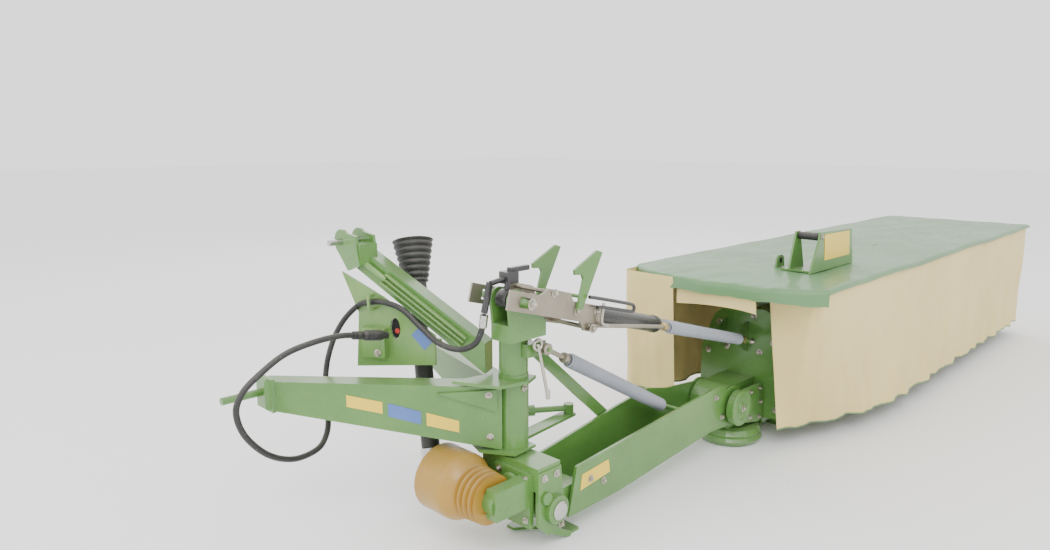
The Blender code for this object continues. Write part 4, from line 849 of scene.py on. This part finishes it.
class MOWER_OT_linkage(bpy.types.Operator):
    """Add the linkage's bolts, hitch pin, handle loop and the lift cylinder's cap"""

    bl_idname = "mower.linkage"
    bl_label = "Linkage fittings"

    def execute(self, context):
        near = -0.07 - 0.097 - 0.004
        bolts = []
        for along, across in ((0.13, 0.052), (0.27, 0.000), (0.385, 0.015)):
            bolts.append(hex_bolt(lift(along, across, near - 0.0004), -Y_AXIS, 0.0105, 0.009))
        bolts.append(hex_bolt(lift(0.365, -0.053, -0.184), -Y_AXIS, 0.012, 0.010))
        bolts.append(hex_bolt(np.array([-0.10, -0.196, 0.94]), -Y_AXIS, 0.014, 0.011))
        put("link_bolts", gather(bolts), "lift_cylinder", "Bolt zinc")
        pin = smooth_path([lift(0.40, 0.050, near - 0.016), lift(0.40, 0.030, near - 0.018),
                           lift(0.405, -0.020, near - 0.018),
                           lift(0.425, -0.032, near - 0.018), lift(0.450, -0.034, near - 0.018)], 30)
        put("hitch_pin", pipe(pin, 0.0065, 12, Y_AXIS), "lift_cylinder", "Bolt zinc")
        loop = smooth_path([lift(0.300, 0.062, near - 0.022), lift(0.36, 0.064, near - 0.023),
                            lift(0.55, 0.066, near - 0.023),
                            lift(0.585, 0.060, near - 0.023), lift(0.588, 0.046, near - 0.023),
                            lift(0.57, 0.038, near - 0.023),
                            lift(0.40, 0.034, near - 0.022), lift(0.36, 0.030, near - 0.020)], 60)
        put("handle_loop", pipe(loop, 0.007, 12, Y_AXIS), "lift_cylinder", "Black paint")
        caps = [lathe([(0.030, 0), (0.0385, 0.003), (0.0385, 0.026), (0.033, 0.032), (0.018, 0.034)],
                      lift(0.906, 0, -0.07),
                      lift(1.0, 0, -0.07), 32)]
        put("cylinder_cap", gather(caps), "lift_cylinder", "Black paint")
        return {"FINISHED"}


# ---------------------------------------------------------------- drive guards

class MOWER_OT_guards(bpy.types.Operator):
    """Turn the ochre shaft guard with its soft rings, the pleated bell and the guard tube"""

    bl_idname = "mower.guards"
    bl_label = "Shaft guards"

    def execute(self, context):
        back, front = np.array([-0.205, -0.0995, 0.225]), np.array([-0.205, 0.19, 0.225])
        length = 0.2890
        t = np.concatenate([np.linspace(0, 0.105, 64), np.linspace(0.108, 0.165, 14),
                            np.linspace(0.17, length, 10)])
        rings = 0.084 + 0.09 * t + 0.0085 * np.cos(2 * np.pi * t / 0.026)
        body = 0.099 + 0.028 * np.sin(np.clip((t - 0.105) / 0.06, 0, 1) * np.pi / 2)
        outer = np.where(t < 0.105, rings, body)
        outer[-2:] += 0.0015
        profile = [(0.046, 0.0), *zip(outer, t), *zip(outer[:4:-1] - 0.004, t[:4:-1]), (0.046, t[5])]
        put("shaft_cup", lathe(profile, back, front, 64), "swing_head", "Ochre guard",
            ["shaft_guard_cup"], 50)
        joint = np.array([-0.205, 0.24, 0.225])
        top = np.array([-0.05, 0.54, 1.085])
        up = unit(top - joint)
        start = joint + up * 0.7106
        reach = float(np.linalg.norm(top - start))
        t = np.linspace(0, reach - 0.001, 110)
        grow = 0.048 + 0.034 * np.clip((t - 0.04) / (reach - 0.04), 0, 1)
        pleat = np.where(t > 0.04, 0.0065 * np.abs(np.cos(np.pi * (t - 0.04) / ((reach - 0.04) / 7))), 0.0)
        outer = np.where(t < 0.04, 0.041, grow + pleat - 0.004)
        profile = [*zip(outer, t), *zip(outer[::-1] - 0.003, t[::-1])]
        put("bell", lathe(profile, start, top, 40), "swing_head", "Black guard",
            ["shaft_bell"], 50)
        tube = [(0.030, 0.0), (0.036, 0.002), (0.036, 0.38), (0.0385, 0.384), (0.0385, 0.400),
                (0.031, 0.404), (0.030, 0.6197)]
        put("guard_tube", lathe(tube, joint + up * 0.0903, top, 32), "swing_head", "Black guard",
            ["shaft_guard_tube"])
        return {"FINISHED"}


# ---------------------------------------------------------------- fittings

def face_plate(corners, normal, thick=0.0012):
    """A thin blank plate through four corners, standing off along a normal."""
    p = np.asarray(corners, float)
    n = unit(np.asarray(normal, float))
    grid = np.stack([p, p + n * thick])
    return skin(grid)


class MOWER_OT_fittings(bpy.types.Operator):
    """Add bolts, bosses, blank plates, the stand channel, the lifting eye and the head's cap"""

    bl_idname = "mower.fittings"
    bl_label = "Fittings"

    def execute(self, context):
        near = -0.2
        casting = [lathe([(0.020, 0), (0.024, 0.002), (0.024, 0.010), (0.020, 0.013)], (-0.03, near, 0.205),
                         (-0.03, -1, 0.205), 32),
                   lathe([(0.050, 0), (0.054, 0.004), (0.054, 0.018), (0.046, 0.024)],
                         (0.02, near - 0.0005, 0.148), (0.02, -1, 0.148), 40),
                   lathe([(0.046, 0), (0.052, 0.004), (0.052, 0.012), (0.040, 0.020)],
                         (-0.085, -0.08, 0.235), (-1, -0.08, 0.235), 36)]
        put("casting_bosses", gather(casting), "swing_head", "Machine paint")
        put("bearing_face", lathe([(0.004, 0), (0.030, 0.0), (0.034, -0.002), (0.036, 0.004),
                                   (0.030, 0.009), (0.004, 0.010)],
                                  (0.02, near - 0.024, 0.148), (0.02, -1, 0.148), 36), "swing_head",
                                  "Turned steel")
        bolts = [hex_bolt((0.052, near - 0.0004, 0.075), -Y_AXIS, 0.010, 0.008),
                 hex_bolt((-0.04, near - 0.0004, 0.285), -Y_AXIS, 0.010, 0.008),
                 hex_bolt((0.025, near - 0.0004, 0.285), -Y_AXIS, 0.010, 0.008)]
        for y, z in ((-0.150, 0.120), (-0.150, 0.280), (-0.010, 0.120), (-0.010, 0.280)):
            bolts.append(hex_bolt((-0.0854, y, z), -X_AXIS, 0.009, 0.007))
        put("casting_bolts", gather(bolts), "swing_head", "Bolt zinc")
        put("oil_plug", hex_bolt((-0.1055, -0.08, 0.235), -X_AXIS, 0.014, 0.010), "swing_head",
            "Black paint")

        face = near - 0.0154 - 0.022
        jx, jz = 1.29, 0.22
        ribs = []
        for a in np.linspace(0, 2 * np.pi, 9)[:-1] + 0.2:
            mid = np.array([jx + 0.066 * math.cos(a), -0.2460, jz + 0.066 * math.sin(a)])
            ribs.append(round_bar(mid - np.array([math.cos(a), 0, math.sin(a)]) * 0.016,
                                  mid + np.array([math.cos(a), 0, math.sin(a)]) * 0.016, 0.004, 8))
        drum = lathe([(0.050, 0), (0.082, 0.0), (0.087, -0.003), (0.0875, 0.004), (0.083, 0.009),
                      (0.058, 0.010), (0.054, 0.005),
                      (0.030, 0.004), (0.026, 0.010), (0.004, 0.011)], (jx, -0.2455, jz), (jx, -1, jz), 56)
        put("cap_drum", gather([drum, *ribs]), "mower", "Machine paint")
        bolts = [hex_bolt((jx, -0.2565, jz), -Y_AXIS, 0.011, 0.008)]
        for x, z in ((jx + 0.10, jz + 0.055), (jx + 0.19, jz + 0.055), (jx + 0.205, jz - 0.02),
                     (jx + 0.195, jz - 0.095),
                     (jx + 0.10, jz - 0.075)):
            bolts.append(hex_bolt((x, face - 0.0004, z), -Y_AXIS, 0.009, 0.007))
        for y, z in ((-0.30, 0.16), (-0.30, 0.36), (-0.27, 0.50), (-0.16, 0.62), (0.03, 0.56), (0.09, 0.40),
                     (0.09, 0.16),
                     (-0.02, 0.44), (-0.20, 0.44)):
            bolts.append(hex_bolt((1.5296, y, z), -X_AXIS, 0.011, 0.009))
        put("head_bolts", gather(bolts), "mower", "Bolt zinc")

        arm = []
        for x, z in ((0.22, 0.20), (0.30, 0.165), (1.13, 0.30), (1.19, 0.19)):
            arm.append(hex_bolt((x, near - 0.0004, z), -Y_AXIS, 0.010, 0.008))
        put("arm_bolts", gather(arm), "carrying_arm", "Bolt zinc")
        put("arm_plate", face_plate([(0.16, near - 0.0003, 0.170), (0.34, near - 0.0003, 0.190),
                                     (0.33, near - 0.0003, 0.245),
                                     (0.17, near - 0.0003, 0.232)], -Y_AXIS), "carrying_arm",
                                     "Yellow plate")

        x, z = 1.705, 1.025
        put("sign_face", face_plate([(x + 0.045, -0.4023, 0.905), (x + 0.345, -0.4023, 0.905),
                                     (x + 0.325, -0.4023, z + 0.006),
                                     (x + 0.030, -0.4023, z + 0.010)], -Y_AXIS, 0.002), "mower",
                                     "Yellow plate")
        roller = lathe([(0.009, 0), (0.017, 0.001), (0.019, 0.004), (0.019, 0.030), (0.0175, 0.034),
                        (0.019, 0.038),
                        (0.019, 0.096), (0.017, 0.099), (0.009, 0.100)], (x, -0.388, z), (x, 0, z), 28)
        put("roller", roller, "mower", "Black guard", ["catch_roller"])
        put("sign_bolts", gather([hex_bolt((x + 0.31, -0.265, COVER_TOP + 0.0086), Z_AXIS, 0.010, 0.008),
                                  hex_bolt((x, -0.4024, z), -Y_AXIS, 0.009, 0.007)]), "mower", "Bolt zinc")
        eye = np.array([(-0.045, 0), (0.045, 0), (0.036, 0.050), (0.018, 0.066), (-0.018, 0.066),
                        (-0.036, 0.050)])
        hole = oval((0, 0.038), 0.015, 0.015, 20)
        lug = slab(eye, (1.72, -0.180, COVER_TOP - 0.006), X_AXIS, Z_AXIS, 0.012, 0.002)
        # A near-black disc over the solid lug where its hole is: painted shade in the hole.
        eye_hole_shade = lathe([(0.014, 0), (0.014, 0.0142)], (1.72, -0.1935, COVER_TOP + 0.032),
                    (1.72, 1, COVER_TOP + 0.032), 24)
        put("lifting_eye", lug, "mower", "Machine paint")
        put("lifting_eye_hole_shade", eye_hole_shade, "mower", "Dark hollow")

        out = np.array([-0.905, -0.426, 0.0])
        along = np.array([-0.426, 0.905, 0.0])
        base = np.array([-0.045, 0.088, 0.0]) + out * 0.0386

        def on_side(s, z, off=0.0):
            return base + along * s + out * off + Z_AXIS * z

        line = unit(np.array([-0.426 * 0.545, 0.905 * 0.545, 0.366]))
        rise = unit(Z_AXIS - line * line[2])
        foot = np.array([-0.045, 0.088, 0.6865]) + out * 0.0388 + rise * 0.006

        def channel(first, last, width, depth, lift_off=0.0):
            outline = [(first, -width / 2), (last, -width / 2), (last, width / 2), (first, width / 2)]
            return slab(outline, foot + out * (depth + lift_off), line, rise, depth, 0.002)

        put("stand_channel", gather([channel(0.10, 0.50, 0.044, 0.006), channel(0.10, 0.50, 0.006, 0.022),
                                     slab([(0.10, 0.016), (0.50, 0.016), (0.50, 0.022), (0.10, 0.022)],
                                          foot + out * 0.022,
                                          line, rise, 0.022, 0.001),
                                     slab([(0.10, -0.022), (0.50, -0.022), (0.50, -0.016), (0.10, -0.016)],
                                          foot + out * 0.022,
                                          line, rise, 0.022, 0.001)]), "headstock", "Light paint")
        put("stand_tube", round_bar(foot + line * 0.49 + out * 0.012, foot + line * 0.60 + out * 0.012,
                                    0.011, 20), "headstock",
            "Light paint")
        put("side_decal", face_plate([on_side(0.262, 0.792, 0.0100), on_side(0.205, 0.742, 0.0100),
                                      on_side(0.245, 0.700, 0.0100),
                                      on_side(0.300, 0.755, 0.0100)], out), "headstock", "Blue plate")
        # A near-black oval flush on the side plate round the red catch: painted shade in the hollow.
        hole = [on_side(0.37 + 0.021 * math.cos(a), 0.775 + 0.041 * math.sin(a),
                        -0.0002) for a in np.linspace(0, 2 * np.pi, 25)[:-1]]
        put("side_hollow_shade", skin(np.stack([hole, np.array(hole) + out * 0.001])), "headstock", "Dark hollow")
        put("side_catch", round_bar(on_side(0.362, 0.765, 0.002), on_side(0.362, 0.765, 0.010), 0.010, 16),
            "headstock", "Red seal")
        put("side_bolts", gather([hex_bolt(on_side(0.45, 0.745, 0.0454), out, 0.010, 0.007),
                                  hex_bolt(on_side(0.43, 0.680, 0.0454), out, 0.010, 0.007)]), "headstock",
                                  "Bolt zinc")
        left = unit(np.array([-0.69 + 0.035, 0.59 - 0.03, 0.0]))
        side = np.array([-abs(left[1]), -abs(left[0]), 0.0])
        root = np.array([-0.035, 0.03, 0.0])

        def on_arm(s, z, off=0.0):
            width = 0.05 + (0.0375 - 0.05) * s / 0.862
            return root + left * s + side * (width + 0.0006 + off) + Z_AXIS * z

        for name, spans, material in (("arm_decal_one",
                                       ((0.44, 0.50), (0.57, 0.53), (0.57, 0.575), (0.44, 0.545)),
                                       "Yellow plate"),
                                      ("arm_decal_two",
                                       ((0.30, 0.455), (0.42, 0.49), (0.42, 0.54), (0.30, 0.505)),
                                       "Blue plate"),
                                      ("arm_decal_three",
                                       ((0.16, 0.42), (0.28, 0.45), (0.28, 0.50), (0.16, 0.465)),
                                       "Yellow plate")):
            put(name, face_plate([on_arm(s, z) for s, z in spans], side), "headstock", material)
        gusset = [on_arm(0.02, 0.585, 0.0), on_arm(0.24, 0.575, 0.0), on_arm(0.02, 0.50, 0.0)]
        put("arm_gusset", face_plate(gusset, side, 0.010), "headstock", "Machine paint")
        put("gusset_bolts", gather([hex_bolt(on_arm(0.05, 0.565, 0.0104), side, 0.009, 0.007),
                                    hex_bolt(on_arm(0.045, 0.40, 0.0004), side, 0.009, 0.007),
                                    hex_bolt((0.0, -0.0580, 0.585), -Y_AXIS, 0.009, 0.007)]), "headstock",
                                    "Bolt zinc")
        return {"FINISHED"}


PARTS = (MOWER_OT_finishes, MOWER_OT_stage, MOWER_OT_hose, MOWER_OT_cloth, MOWER_OT_springs,
         MOWER_OT_linkage,
         MOWER_OT_guards, MOWER_OT_fittings)


class MOWER_PT_panel(bpy.types.Panel):
    """Builds the mower's pieces one by one"""

    bl_label = "Disc mower"
    bl_idname = "MOWER_PT_panel"
    bl_space_type = "VIEW_3D"
    bl_region_type = "UI"
    bl_category = "Mower"

    def draw(self, context):
        for part in PARTS:
            self.layout.operator(part.bl_idname)


CLASSES = (MowerColours, MowerSizes, *PARTS, MOWER_PT_panel)


def register():
    for each in CLASSES:
        bpy.utils.register_class(each)
    bpy.types.Scene.mower_colours = PointerProperty(type=MowerColours)
    bpy.types.Scene.mower_sizes = PointerProperty(type=MowerSizes)


def unregister():
    del bpy.types.Scene.mower_colours
    del bpy.types.Scene.mower_sizes
    for each in reversed(CLASSES):
        bpy.utils.unregister_class(each)


def main():
    register()
    for part in PARTS:
        group, name = part.bl_idname.split(".")
        getattr(getattr(bpy.ops, group), name)()


if __name__ == "__main__":
    main()
